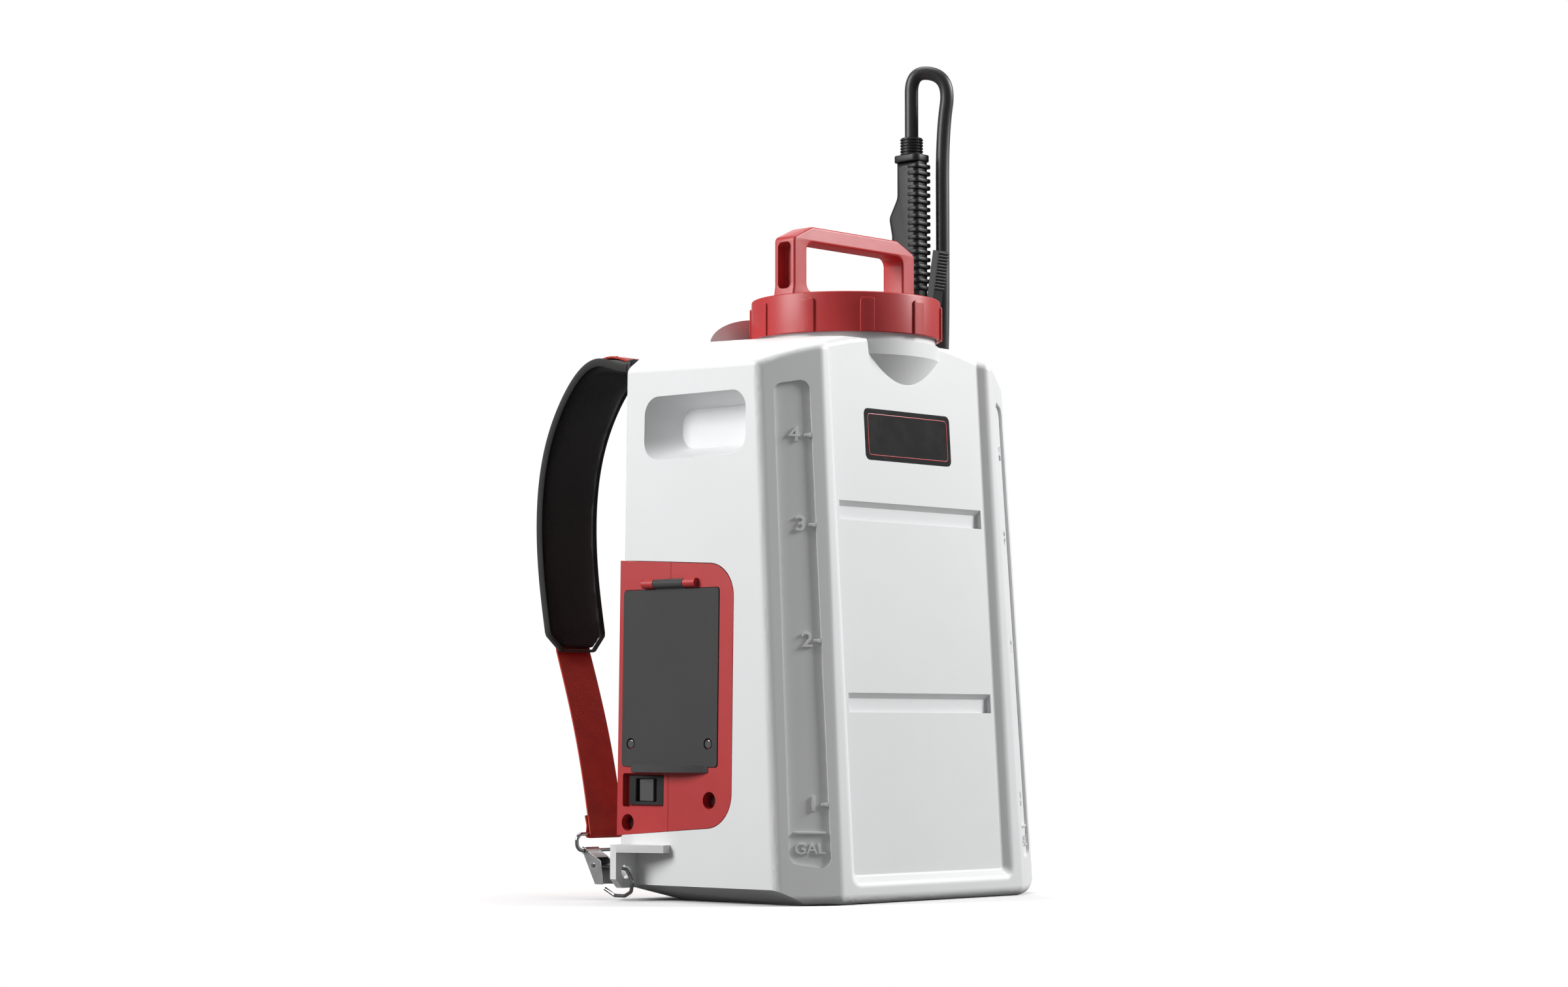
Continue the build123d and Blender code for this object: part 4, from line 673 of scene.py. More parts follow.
@dataclass(frozen=True)
class SmokedPlastic(Recipe):
    """Clear plastic with a dark tint, which shows faintly what lies behind it."""

    cover: float = 0.84

    def surface(self, nodes: Weave) -> Finish:
        """Fill the material's tree.

        Args:
            nodes: the material's empty tree.

        Returns:
            The material.
        """
        tint = nodes.cloudy(self.colour, 14, 2, 0.98, 1.02)
        rough = nodes.drifting(40, 2, 0.14, 0.22)
        ripple = nodes.bump(nodes.noise(40, 1), 0.03, 0.00004)
        return nodes.finish(Base_Color=tint, Roughness=rough, Normal=ripple, Alpha=self.cover, Specular_IOR_Level=0.3)


@dataclass(frozen=True)
class PlatedMetal(Recipe):
    """Plated or brushed metal, its fine lines along Z."""

    roughness: float = 0.16
    lines: float = 0.25

    def surface(self, nodes: Weave) -> Finish:
        """Fill the material's tree.

        Args:
            nodes: the material's empty tree.

        Returns:
            The material.
        """
        streaks = nodes.noise(900, 3, nodes.place((1, 1, 0.06)))
        tint = nodes.cloudy(self.colour, 30, 3, 0.93, 1.04)
        rough = nodes.drifting(120, 3, self.roughness * 0.8, self.roughness * 1.4)
        lines = nodes.bump(streaks, self.lines, 0.00001)
        return nodes.finish(Base_Color=tint, Roughness=rough, Normal=lines, Metallic=1.0)


@dataclass(frozen=True)
class RubberHose(Recipe):
    """Smooth dark hose with a dusty sheen and faint ripples across it."""

    def surface(self, nodes: Weave) -> Finish:
        """Fill the material's tree.

        Args:
            nodes: the material's empty tree.

        Returns:
            The material.
        """
        tint = nodes.cloudy(self.colour, 25, 4, 0.88, 1.12)
        rough = nodes.drifting(90, 3, 0.36, 0.5)
        grain = nodes.bump(nodes.noise(1500, 3), 0.3, 0.00002)
        wave = nodes.bump(nodes.noise(45, 2), 0.25, 0.0003, grain)
        return nodes.finish(Base_Color=tint, Roughness=rough, Normal=wave, Sheen_Weight=0.1)


@dataclass(frozen=True)
class WovenBand(Recipe):
    """Woven cloth that follows the piece's own UV map, in metres across and along. Its colour comes partly from
    thread height, darker in the weave's hollows and lighter on the raised threads, which is painted shade and painted
    light, and partly from random tone.
    """

    # the darker colour: painted shade in the weave's hollows, and the darker end of its random tone
    dark: Colour
    thread: float = 0.0011
    sheen: float = 0.3
    depth: float = 0.00022

    def surface(self, nodes: Weave) -> Finish:
        """Fill the material's tree.

        Args:
            nodes: the material's empty tree.

        Returns:
            The material.
        """
        where = nodes.place((1 / self.thread, 1 / self.thread, 1), "UV")
        split = nodes.add("ShaderNodeSeparateXYZ", {0: where}).outputs
        across = nodes.reckon("MULTIPLY", split[0], math.pi)
        along = nodes.reckon("MULTIPLY", split[1], 2 * math.pi)
        warp = nodes.reckon("SINE", nodes.reckon("ADD", across, along))
        weft = nodes.reckon("COSINE", across)
        height = nodes.ranged(nodes.reckon("MULTIPLY", warp, weft), 0.5, 1.0)
        # over half the colour follows thread height: painted shade in the hollows, painted light on the raised
        # threads; the noise below adds random tone
        lit = nodes.reckon("MULTIPLY", height, 0.55)
        blend = nodes.reckon("MULTIPLY_ADD", nodes.noise(55, 4), 0.45, lit)
        tint = nodes.mixed(blend, self.dark, self.colour)
        relief = nodes.bump(height, 0.7, self.depth)
        fuzz = nodes.bump(nodes.noise(2200, 3), 0.3, 0.00005, relief)
        return nodes.finish(
            Base_Color=tint, Roughness=0.85, Normal=fuzz, Sheen_Weight=self.sheen, Sheen_Roughness=0.5
        )


@dataclass(frozen=True)
class FoamCloth(Recipe):
    """Fine black cloth over foam, with a knitted relief."""

    def surface(self, nodes: Weave) -> Finish:
        """Fill the material's tree.

        Args:
            nodes: the material's empty tree.

        Returns:
            The material.
        """
        where = nodes.place()
        cells = nodes.add("ShaderNodeTexVoronoi", {"Vector": where, "Scale": 620.0}, feature="F1")
        height = nodes.ranged(cells.outputs["Distance"], 1.0, 0.0)
        tint = nodes.cloudy(self.colour, 30, 5, 0.75, 1.35)
        relief = nodes.bump(height, 0.5, 0.0003)
        return nodes.finish(Base_Color=tint, Roughness=0.9, Normal=relief, Sheen_Weight=0.12, Sheen_Roughness=0.5)


@dataclass(frozen=True)
class GlossyLabel(Recipe):
    """Glossy printed plate with a faint orange-peel surface."""

    roughness: float = 0.1
    coat: float = 0.6

    def surface(self, nodes: Weave) -> Finish:
        """Fill the material's tree.

        Args:
            nodes: the material's empty tree.

        Returns:
            The material.
        """
        tint = nodes.mixed(nodes.noise(20, 2), self.colour, shaded(self.colour, 1.3))
        rough = nodes.drifting(80, 2, self.roughness, self.roughness + 0.08)
        peel = nodes.bump(nodes.noise(500, 2), 0.08, 0.00005)
        return nodes.finish(Base_Color=tint, Roughness=rough, Normal=peel, Coat_Weight=self.coat, Coat_Roughness=0.05)


class Finishes:
    """All the sprayer's materials, each made once."""

    def __init__(self) -> None:
        """Build every material."""
        self.tank = MouldedPlastic("milky_tank", (0.745, 0.75, 0.755), 0.42, 1100, 0.00009, 0.015).make()
        # a shade darker than the tank's plastic: painted shade that lets the raised numbers, ticks and rules stand
        # out on the scale strip
        self.mark = MouldedPlastic("raised_marks", (0.72, 0.725, 0.73), 0.4, 1100, 0.00005, 0.015).make()
        self.red = MouldedPlastic("red_shell", (0.45, 0.034, 0.036), 0.38, 1300, 0.00003, 0.04, 0.42).make()
        self.black = MouldedPlastic("dark_fittings", (0.018, 0.018, 0.019), 0.42, 1300, 0.00003, 0.08, 0.3).make()
        self.rocker = MouldedPlastic("rocker_grey", (0.085, 0.085, 0.088), 0.34, 1600, 0.00002, 0.05).make()
        self.inner = MouldedPlastic("inner_black", (0.02, 0.02, 0.021), 0.5, 900, 0.00003, 0.1).make()
        # painted shade: the screws take the dark red-black of the shaded wells they sit in, in the red cover
        self.well_shade = MouldedPlastic("screws_painted_well_shade", (0.035, 0.004, 0.004), 0.6, 900, 0.00003, 0.1, 0.1).make()
        self.white = MouldedPlastic("white_insert", (0.72, 0.72, 0.7), 0.45, 900, 0.00003, 0.03).make()
        self.board = MouldedPlastic("circuit_board", (0.01, 0.09, 0.03), 0.35, 500, 0.00005, 0.3).make()
        self.seal = MouldedPlastic("soft_seal", (0.02, 0.02, 0.02), 0.7, 800, 0.00004, 0.1).make()
        self.smoked = SmokedPlastic("smoked_flap", (0.078, 0.077, 0.079)).make()
        self.chrome = PlatedMetal("polished_wire", (0.42, 0.42, 0.43), 0.14, 0.15).make()
        self.steel = PlatedMetal("zinc_steel", (0.38, 0.38, 0.385), 0.3, 0.5).make()
        self.plated = PlatedMetal("plated_sheet", (0.58, 0.58, 0.585), 0.3, 0.4).make()
        self.brass = PlatedMetal("turned_brass", (0.72, 0.5, 0.2), 0.24, 0.3).make()
        self.hose = RubberHose("hose_rubber", (0.018, 0.018, 0.0185)).make()
        # each woven band's second colour is painted shade for its weave's hollows, mixed with random tone
        self.webbing = WovenBand(
            "red_webbing", (0.50, 0.030, 0.014), (0.26, 0.012, 0.006), 0.0013, 0.08, 0.00025
        ).make()
        self.pad = FoamCloth("pad_cloth", (0.0035, 0.0035, 0.0033)).make()
        self.binding = WovenBand("pad_binding", (0.02, 0.02, 0.019), (0.008, 0.008, 0.008), 0.0012, 0.15).make()
        self.thread = WovenBand("sewing_thread", (0.45, 0.05, 0.03), (0.3, 0.03, 0.02), 0.0004, 0.2, 0.0001).make()
        self.label = GlossyLabel("label_black", (0.008, 0.008, 0.009)).make()
        self.border = GlossyLabel("label_red", (0.5, 0.02, 0.025), 0.4, 0.0).make()


class SubAssembly:
    """A named group of pieces that shares the finishes."""

    title = "pieces"

    def __init__(self, finishes: Finishes) -> None:
        """Keep the finishes."""
        self.finishes = finishes
        self.pieces: list[str] = []

    def dress(
        self,
        piece: Piece,
        finish: Finish,
        body: str = "sprayer",
        instead_of: tuple[str, ...] = (),
    ) -> None:
        """Give a piece its finish and that finish's slot, its body and the nodes that it stands for.

        Args:
            piece: the finished mesh or curve.
            finish: its material.
            body: the CAD body that it rides on.
            instead_of: CAD nodes that it replaces.
        """
        piece.data.materials.clear()
        piece.data.materials.append(finish)
        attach(piece, body)
        if instead_of:
            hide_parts(*instead_of)
        self.pieces.append(piece.name)

    def node(self, name: str, finish: Finish) -> None:
        """Give a CAD node that stays its finish.

        Args:
            name: the node's name.
            finish: its material.
        """
        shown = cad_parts[name]
        shown.data.materials.clear()
        shown.data.materials.append(finish)
        self.pieces.append(name)

    def skin(self, node: str, finish: Finish, body: str = "sprayer", **shape: float) -> None:
        """Smooth, softened copy of a CAD node, in its place."""
        self.dress(refined(node, **shape), finish, body, (node,))

    def skins(self, rows: list[tuple[str, Finish, str, float]]) -> None:
        """Skins from rows of node, finish, body and width of the softened edges in millimetres."""
        for node, finish, body, bevel in rows:
            self.skin(node, finish, body, bevel=bevel * MM)

    def report(self) -> None:
        """Name the pieces made."""
        LOG.info("%s: %s", self.title, ", ".join(self.pieces))


# ---------------------------------------------------------------- tank
@dataclass
class TankShape:
    """Sizes of the tank's outside that the marks and the label follow, in metres."""

    half_width: float = 0.159
    side_lean: float = 0.015
    front: float = -0.100
    front_lean: float = 0.0625
    corner_x: float = 0.047
    corner_y: float = 0.027
    scale_low: float = 0.027
    scale_high: float = 0.4085
    scale_depth: float = 0.0025
    panel_depth: float = 0.0055

    def side(self, out: float = 0.0) -> Matrix:
        """Plane of the drive side: local x towards the label face, local y up."""
        normal = Vector((-1, 0, self.side_lean)).normalized()
        return plane(Vector((-self.half_width, 0, 0)) + normal * out, FRONT, normal)

    def face(self, sink: float = 0.0) -> Matrix:
        """Plane of the label face, sunk by an amount."""
        normal = Vector((0, -1, self.front_lean)).normalized()
        return plane(Vector((0, self.front, 0)) - normal * sink, RIGHT, normal)

    def corner(self, side: int, z: float, inset: float = 0.0, back: float = 0.0) -> Vector:
        """Point where a side meets the label face at a height, moved in from the side or back from the face.

        Args:
            side: -1 for the drive side, 1 for the lance's.
            z: the height.
            inset: how far in from the side.
            back: how far back from the face.

        Returns:
            The point.
        """
        x = self.half_width - self.side_lean * z - inset
        y = self.front + self.front_lean * z + back
        return Vector((side * x, y, z))

    def scale(self, side: int) -> Matrix:
        """Plane of the floor of one level scale: local x across to the right, local y up from its middle.

        Args:
            side: -1 for the drive side, 1 for the lance's.

        Returns:
            The plane's matrix.
        """
        outer = self.corner(side, self.scale_low, back=self.corner_y)
        inner = self.corner(side, self.scale_low, inset=self.corner_x)
        above = self.corner(side, self.scale_high, inset=self.corner_x)
        across = (inner - outer) * -side
        normal = -(above - inner).cross(across)
        normal.normalize()
        return plane((outer + above) / 2 - normal * self.scale_depth, across, normal)


class Tank(SubAssembly):
    """Blown tank with its level marks and label."""

    title = "tank"
    shape = TankShape()
    levels: tuple[tuple[str, float, float], ...] = (
        ("4", -0.0009, 0.3636),
        ("3", 0.0030, 0.2933),
        ("2", 0.0065, 0.2032),
        ("1", 0.0090, 0.0771),
    )
    edge_low: float = 0.0225
    edge_high: float = 0.0125
    # sizes and places of the numbers, the unit and the rule over it
    number_size: float = 0.0164
    unit_size: float = 0.0118
    unit_across: float = 0.0053
    unit_z: float = 0.0430
    rule_across: float = 0.0057
    rule_z: float = 0.0555
    raised: float = 0.0003
    label_size: Point2 = (0.0985, 0.0335)
    label_z: float = 0.370
    line: float = 0.0005

    def build(self) -> None:
        """Make and dress the tank's pieces."""
        self.skin("tank", self.finishes.tank, bevel=1.6 * MM, angle=28, segments=3)
        self.skin("label_plate", self.finishes.label, bevel=0.3 * MM)
        self.border()
        for side in (-1, 1):
            self.marks(side)
        self.node("anchor_screws", self.finishes.steel)

    def border(self) -> None:
        """Thin printed line inside the label's edge."""
        (wide, high), centre = self.label_size, (0, self.label_z)
        outer = rectangle(wide, high, 0.0032, centre)
        inner = rectangle(wide - 2 * self.line, high - 2 * self.line, 0.0027, centre)
        sunk = self.shape.face(self.shape.panel_depth - 0.00012)
        line = plate("label_border", [outer, inner], 0.0003, 0.00004, sunk, 1)
        self.dress(line, self.finishes.border)

    def marks(self, side: int) -> None:
        """Raised numbers, ticks and unit on one level scale.

        Args:
            side: -1 for the drive side, 1 for the lance's.
        """
        floor = self.shape.scale(side)
        up = floor.to_3x3() @ BACK
        middle = floor.translation.z
        low, high = self.shape.scale_low, self.shape.scale_high
        name = "left" if side < 0 else "right"
        wedge = [(-0.0062, -0.0010), (0.0012, -0.0022), (0.0012, 0.0018), (-0.0062, 0.0010)]
        raised = floor @ Matrix.Translation((0, 0, self.raised))
        for text, across, z in self.levels:
            height = (z - middle) / up.z
            self.letter(f"{name}_level_{text}", text, (-side * across, height), self.number_size, floor)
            edge = self.edge_low + (self.edge_high - self.edge_low) * (z - low) / (high - low)
            tick = [(-side * (edge + x), height + y) for x, y in wedge]
            mark = plate(f"{name}_tick_{text}", [tick], 0.0040, 0.0003, raised, 1)
            self.dress(mark, self.finishes.mark)
        unit = (-side * self.unit_across, (self.unit_z - middle) / up.z)
        self.letter(f"{name}_unit", "GAL", unit, self.unit_size, floor)
        place = Matrix.Translation((-side * self.rule_across, (self.rule_z - middle) / up.z, self.raised))
        bar = plate(f"{name}_rule", [rectangle(0.0255, 0.0018, 0.0006)], 0.0030, 0.0003, floor @ place, 1)
        self.dress(bar, self.finishes.mark)

    def letter(self, name: str, text: str, centre: Point2, size: float, floor: Matrix) -> None:
        """One raised number or word, wide in its proportions.

        Args:
            name: the piece's name.
            text: what it says.
            centre: its middle on the scale's floor.
            size: height of the type.
            floor: the floor's plane.
        """
        font = bpy.data.curves.new(name, "FONT")
        font.body = text
        font.size = size
        font.align_x = "CENTER"
        font.align_y = "CENTER"
        font.extrude = 0.0008
        font.bevel_depth = 0.00015
        stretch = Matrix.Diagonal((1.12, 1, 1, 1))
        placed = floor @ Matrix.Translation((*centre, 0.0007)) @ stretch
        self.dress(tidied(baked(new_object(name, font), name), placed), self.finishes.mark)


# ---------------------------------------------------------------- cap and strainer
class Cap(SubAssembly):
    """Screw cap with its carrying handle, vent, seal and strainer."""

    title = "cap"
    axis = Vector((0, -0.005, 0))
    ring_r: float = 0.0775
    inner_r: float = 0.0745
    bottom: float = 0.4515
    top: float = 0.484
    under: float = 0.4798
    tabs: int = 10
    handle_top: float = 0.540
    handle_half: float = 0.075
    leg: float = 0.0155
    bar: float = 0.013
    depth: float = 0.022
    flange: float = 0.004
    rim_r: float = 0.0014
    lip: float = 0.0006
    # radii of the shallow groove in the top, from outside inwards
    groove: tuple[float, float, float, float] = (0.0700, 0.0694, 0.0675, 0.0669)
    groove_depth: float = 0.0008
    vent_r: float = 0.0026
    flare: float = 0.0018
    shoulder: float = 0.010
    slope: float = 0.022

    def build(self) -> None:
        """Make and dress the cap's pieces."""
        self.ring()
        self.tab_ring()
        self.handle()
        self.skin("vent_valve", self.finishes.seal, "cap", bevel=0.4 * MM)
        self.node("cap_gasket", self.finishes.seal)
        self.node("strainer_basket", self.finishes.white)
        self.node("strainer_rim", self.finishes.white)

    def ring(self) -> None:
        """Turned shell of the cap."""
        r, top, soft, lip = self.ring_r, self.top, self.rim_r, self.lip
        quarter = np.linspace(0, math.pi / 2, 5)
        sunk = top - self.groove_depth
        first, second, third, fourth = self.groove
        profile = [
            (self.inner_r, self.bottom + lip),
            (self.inner_r + lip, self.bottom),
            (r - lip, self.bottom),
            (r, self.bottom + lip),
            *((r - soft + soft * math.cos(a), top - soft + soft * math.sin(a)) for a in quarter),
            (first, top),
            (second, sunk),
            (third, sunk),
            (fourth, top),
            (self.vent_r, top),
            (self.vent_r, self.under),
            (self.inner_r - 0.001, self.under),
            (self.inner_r, self.under - 0.001),
        ]
        shell = lathe("cap_ring", profile, self.axis, 144)
        self.dress(shell, self.finishes.red, "cap", ("cap",))

    def tab_ring(self) -> None:
        """Grip tabs around the cap."""
        height = self.top - self.bottom - 0.005
        half, foot_r, head_r = 0.0058, 0.0009, 0.0025
        outline = rounded([(-half, 0), (half, 0), (half, height), (-half, height)], [foot_r, foot_r, head_r, head_r])
        upright = plane(Vector((self.ring_r - 0.0003, 0, self.bottom)), BACK, RIGHT)
        tab = plate("tab", [outline], 0.0034, 0.0004, Matrix.Identity(4), 2)
        tab.data.transform(Matrix.Translation((-self.ring_r, 0, 0)) @ upright)
        spread = {"Count": self.tabs, "Radius": self.ring_r, "Angle": math.pi / self.tabs, "Start": tuple(self.axis)}
        made = Repeater(Layout.RING, "cap_tabs").run("cap_tabs", tab, self.finishes.red, **spread)
        self.dress(tidied(made), self.finishes.red, "cap")

    def handle(self) -> None:
        """Carrying handle: a flanged frame with hollow legs."""
        half, top, low = self.handle_half, self.handle_top, self.under + 0.001
        foot = self.top + 0.007
        outer = rounded(
            [
                (-half - self.flare, low),
                (half + self.flare, low),
                (half, foot),
                (half, top - self.shoulder),
                (half - self.slope, top),
                (-half + self.slope, top),
                (-half, top - self.shoulder),
                (-half, foot),
            ],
            [0, 0, 0.02, 0.005, 0.008, 0.008, 0.005, 0.02],
        )
        gap_half = half - self.leg
        sill = self.top + 0.003
        gap = rectangle(2 * gap_half, top - self.bar - sill, 0.007, (0, (sill + top - self.bar) / 2))
        upright = plane(self.axis, RIGHT, FRONT)
        frame_piece = plate("cap_handle", [outer, gap], self.depth, 0.0018, upright, 5)
        hollow_low, hollow_high = self.top + 0.0045, top - 0.0135
        deep, wide = self.leg - 0.003, self.depth - 2 * self.flange
        for side in (-1, 1):
            middle = self.axis + Vector((side * (half + 0.003), 0, (hollow_low + hollow_high) / 2))
            face = plane(middle, BACK, RIGHT)
            cutter = plate("cutter", [rectangle(wide, hollow_high - hollow_low, 0.0045)], 2 * deep, 0.0008, face, 2)
            carved(frame_piece, cutter)
        self.dress(tidied(frame_piece), self.finishes.red, "cap")


# ---------------------------------------------------------------- drive compartment
class DriveCompartment(SubAssembly):
    """Red cover with the flap, switch, battery and pump behind it."""

    title = "drive compartment"

    def build(self) -> None:
        """Make and dress the compartment's pieces."""
        f = self.finishes
        self.skins(
            [
                ("cover_front", f.red, "sprayer", 0.8),
                ("cover_rear", f.red, "sprayer", 0.8),
                ("battery_flap", f.smoked, "flap", 0.5),
                ("flap_pin", f.steel, "sprayer", 0.0),
                ("catch_studs", f.chrome, "sprayer", 0.5),
                # the screws are painted with the shade of their wells in the cover
                ("cover_screws", f.well_shade, "sprayer", 0.4),
                ("switch_frame", f.black, "sprayer", 0.5),
                ("switch_rocker", f.rocker, "rocker", 0.6),
                ("battery_pack", f.inner, "sprayer", 1.0),
                ("battery_button", f.red, "battery_button", 0.6),
                ("battery_tray", f.inner, "sprayer", 0.0),
            ]
        )
        inside = {
            "terminal_block": f.inner,
            "terminal_blades": f.brass,
            "control_board": f.board,
            "pump_head": f.black,
            "pump_cover": f.black,
            "pump_screws": f.steel,
            "motor_can": f.steel,
            "pump_rotor": f.steel,
            "pump_bracket": f.steel,
            "suction_fitting": f.black,
            "suction_grommet": f.seal,
            "inlet_filter": f.white,
        }
        for name, finish in inside.items():
            self.node(name, finish)
        self.skin("outlet_elbow", f.black, bevel=0.4 * MM)
        self.skin("outlet_nut", f.black, bevel=0.8 * MM)


# ---------------------------------------------------------------- spray gun and lance
class SprayGun(SubAssembly):
    """Spray gun with its ribbed grip, trigger, lance and clips."""

    title = "spray gun"
    x: float = 0.170
    y: float = 0.067
    width: float = 0.019
    depth: float = 0.025
    top: float = 0.630
    bottom: float = 0.470
    rib_pitch: float = 0.0063
    ribs: int = 18
    trigger_pitch: float = 0.0028
    trigger_ribs_count: int = 12

    def build(self) -> None:
        """Make and dress the gun's pieces."""
        f = self.finishes
        self.body()
        self.grip_ribs()
        self.hose_nut()
        self.skin("trigger", f.black, "trigger", bevel=0.3 * MM)
        self.trigger_ribs()
        self.skins(
            [
                ("trigger_pin", f.steel, "sprayer", 0.3),
                ("valve_stem", f.brass, "valve_stem", 0.3),
                ("trigger_lock", f.black, "trigger_lock", 0.4),
                ("lance_tube", f.steel, "sprayer", 0.0),
                ("lance_nut", f.black, "sprayer", 0.6),
                ("nozzle", f.brass, "nozzle", 0.5),
                ("lance_clips", f.black, "sprayer", 0.5),
            ]
        )

    def body(self) -> None:
        """Side-profiled grip with its flange."""
        front, back = self.y - self.depth / 2, self.y + self.depth / 2
        side = plane(Vector((self.x, 0, 0)), BACK, RIGHT)
        outline = rounded(
            [
                (front, self.top),
                (front, 0.517),
                (front, 0.473),
                (front + 0.004, self.bottom),
                (back - 0.006, self.bottom),
                (back - 0.001, 0.4785),
                (back + 0.0085, 0.5225),
                (back + 0.0085, 0.5395),
                (back + 0.0051, 0.565),
                (back + 0.0085, 0.582),
                (back - 0.001, 0.599),
                (back - 0.001, self.top),
            ],
            [0, 0, 0.002, 0.003, 0.003, 0.01, 0.012, 0.012, 0.012, 0.01, 0.012, 0],
        )
        grip = plate("gun_grip", [outline], self.width - 0.0002, 0.0055, side, 8)
        self.dress(grip, self.finishes.black, "sprayer", ("gun_body",))
        tip = 0.0404
        cheek = [(front + 0.008, 0.514), (tip, 0.490), (tip, 0.474), (front + 0.008, 0.4705)]
        cheek = rounded(cheek, [0.001, 0.005, 0.005, 0.001])
        for name, sign in (("left", -1), ("right", 1)):
            placed = side @ Matrix.Translation((0, 0, sign * 0.0080))
            ear = plate(f"gun_cheek_{name}", [cheek], 0.0026, 0.0006, placed, 2)
            self.dress(ear, self.finishes.black)
        flat = plane(Vector((self.x, self.y, self.top + 0.003)), RIGHT, UP)
        flange = plate("gun_flange", [rectangle(0.021, 0.028, 0.006)], 0.006, 0.0008, flat, 2)
        self.dress(flange, self.finishes.black)

    def row(self, name: str, item: Piece, body: str, count: int, start: Point3, step: Point3) -> None:
        """Row of copies of one small black piece.

        Args:
            name: the piece's name.
            item: the small piece, made at the origin.
            body: the CAD body that the row rides on.
            count: how many copies.
            start: place of the first.
            step: way from each to the next.
        """
        black = self.finishes.black
        made = Repeater(Layout.ROW, name).run(name, item, black, Count=count, Start=start, Step=step)
        self.dress(tidied(made), black, body)

    def grip_ribs(self) -> None:
        """Ribs across the front of the grip."""
        outline = rectangle(0.0205, 0.0125, 0.0035)
        rib = plate("rib", [outline], 0.0034, 0.0007, Matrix.Identity(4), 2)
        front = self.y - self.depth / 2
        start = (self.x, front + 0.0042, self.top - 0.7 * self.rib_pitch)
        self.row("grip_ribs", rib, "sprayer", self.ribs, start, (0, 0, -self.rib_pitch))

    def trigger_ribs(self) -> None:
        """Fine ribs across the face of the trigger."""
        pivot, tip = Vector((self.x, 0.046, 0.482)), Vector((self.x, 0.0345, 0.549))
        way = (tip - pivot).normalized()
        out = way.cross(Vector((-1, 0, 0))).normalized()
        if out.y > 0:
            out.negate()
        face = plane(Vector(), RIGHT, out)
        rib = plate("rib", [rectangle(0.0128, 0.0016, 0.0004)], 0.0024, 0.0004, face, 1)
        start = tip - way * (0.7 * self.trigger_pitch) + out * 0.0038
        step = tuple(-way * self.trigger_pitch)
        self.row("trigger_ribs", rib, "trigger", self.trigger_ribs_count, tuple(start), step)

    def hose_nut(self) -> None:
        """Ringed collar that holds the hose on the gun."""
        low, height, rings, bore = 0.636, 0.0155, 6, 0.0063
        pitch = height / rings
        ring = [(0.0096, 0.0002), (0.010, 0.0006), (0.010, 0.0014), (0.0091, 0.0019), (0.009, 0.0024)]
        profile: Loop = [(bore, low), (0.0093, low)]
        for n in range(rings):
            z = low + n * pitch
            profile += [(r, z + up) for r, up in ring]
        profile += [(0.0086, low + height), (bore, low + height)]
        nut = lathe("hose_collar", profile, Vector((self.x, self.y, 0)), 64)
        self.dress(nut, self.finishes.black, "sprayer", ("hose_nut",))


# ---------------------------------------------------------------- hose
@dataclass
class HoseRoute:
    """Route of the hose from the pump's outlet to the gun, in millimetres."""

    radius: float = 6.0
    length: float = 1122.0
    points: tuple[tuple[float, float, float], ...] = (
        (-44.0, 113.0, 74.2),
        (-44.0, 113.0, 54.0),
        (-43.0, 122.0, 33.5),
        (-39.0, 137.5, 17.5),
        (-28.5, 157.0, 8.5),
        (-5.0, 180.0, 8.0),
        (33.0, 195.0, 8.0),
        (80.0, 198.0, 8.0),
        (125.0, 187.0, 8.0),
        (162.0, 164.0, 10.5),
        (188.0, 139.0, 30.0),
        (201.0, 121.0, 68.0),
        (203.0, 108.0, 114.0),
        (198.0, 100.0, 165.0),
        (193.0, 95.5, 218.0),
        (190.0, 90.0, 272.0),
        (190.0, 79.0, 324.0),
        (190.0, 64.5, 374.0),
        (188.5, 51.5, 420.0),
        (187.0, 46.4, 474.0),
        (187.0, 46.0, 566.0),
        (187.0, 46.3, 655.0),
        (187.0, 36.8, 704.0),
        (170.4, 67.4, 712.5),
        (170.0, 67.0, 672.0),
        (170.0, 67.0, 636.0),
    )


class Hose(SubAssembly):
    """Free hose between the pump's outlet and the gun."""

    title = "hose"
    route = HoseRoute()

    def build(self) -> None:
        """Lay the hose along its route."""
        line = [tuple(MM * value for value in place) for place in self.route.points]
        curve = curve_through("hose_line", "3D", "NURBS", [line])
        spline = curve.splines[0]
        spline.order_u = 3
        spline.use_endpoint_u = True
        spline.resolution_u = 12
        curve.bevel_depth = self.route.radius * MM
        curve.bevel_resolution = 7
        curve.use_fill_caps = True
        hose = new_object("hose_line", curve)
        self.dress(hose, self.finishes.hose, "sprayer", ("hose",))


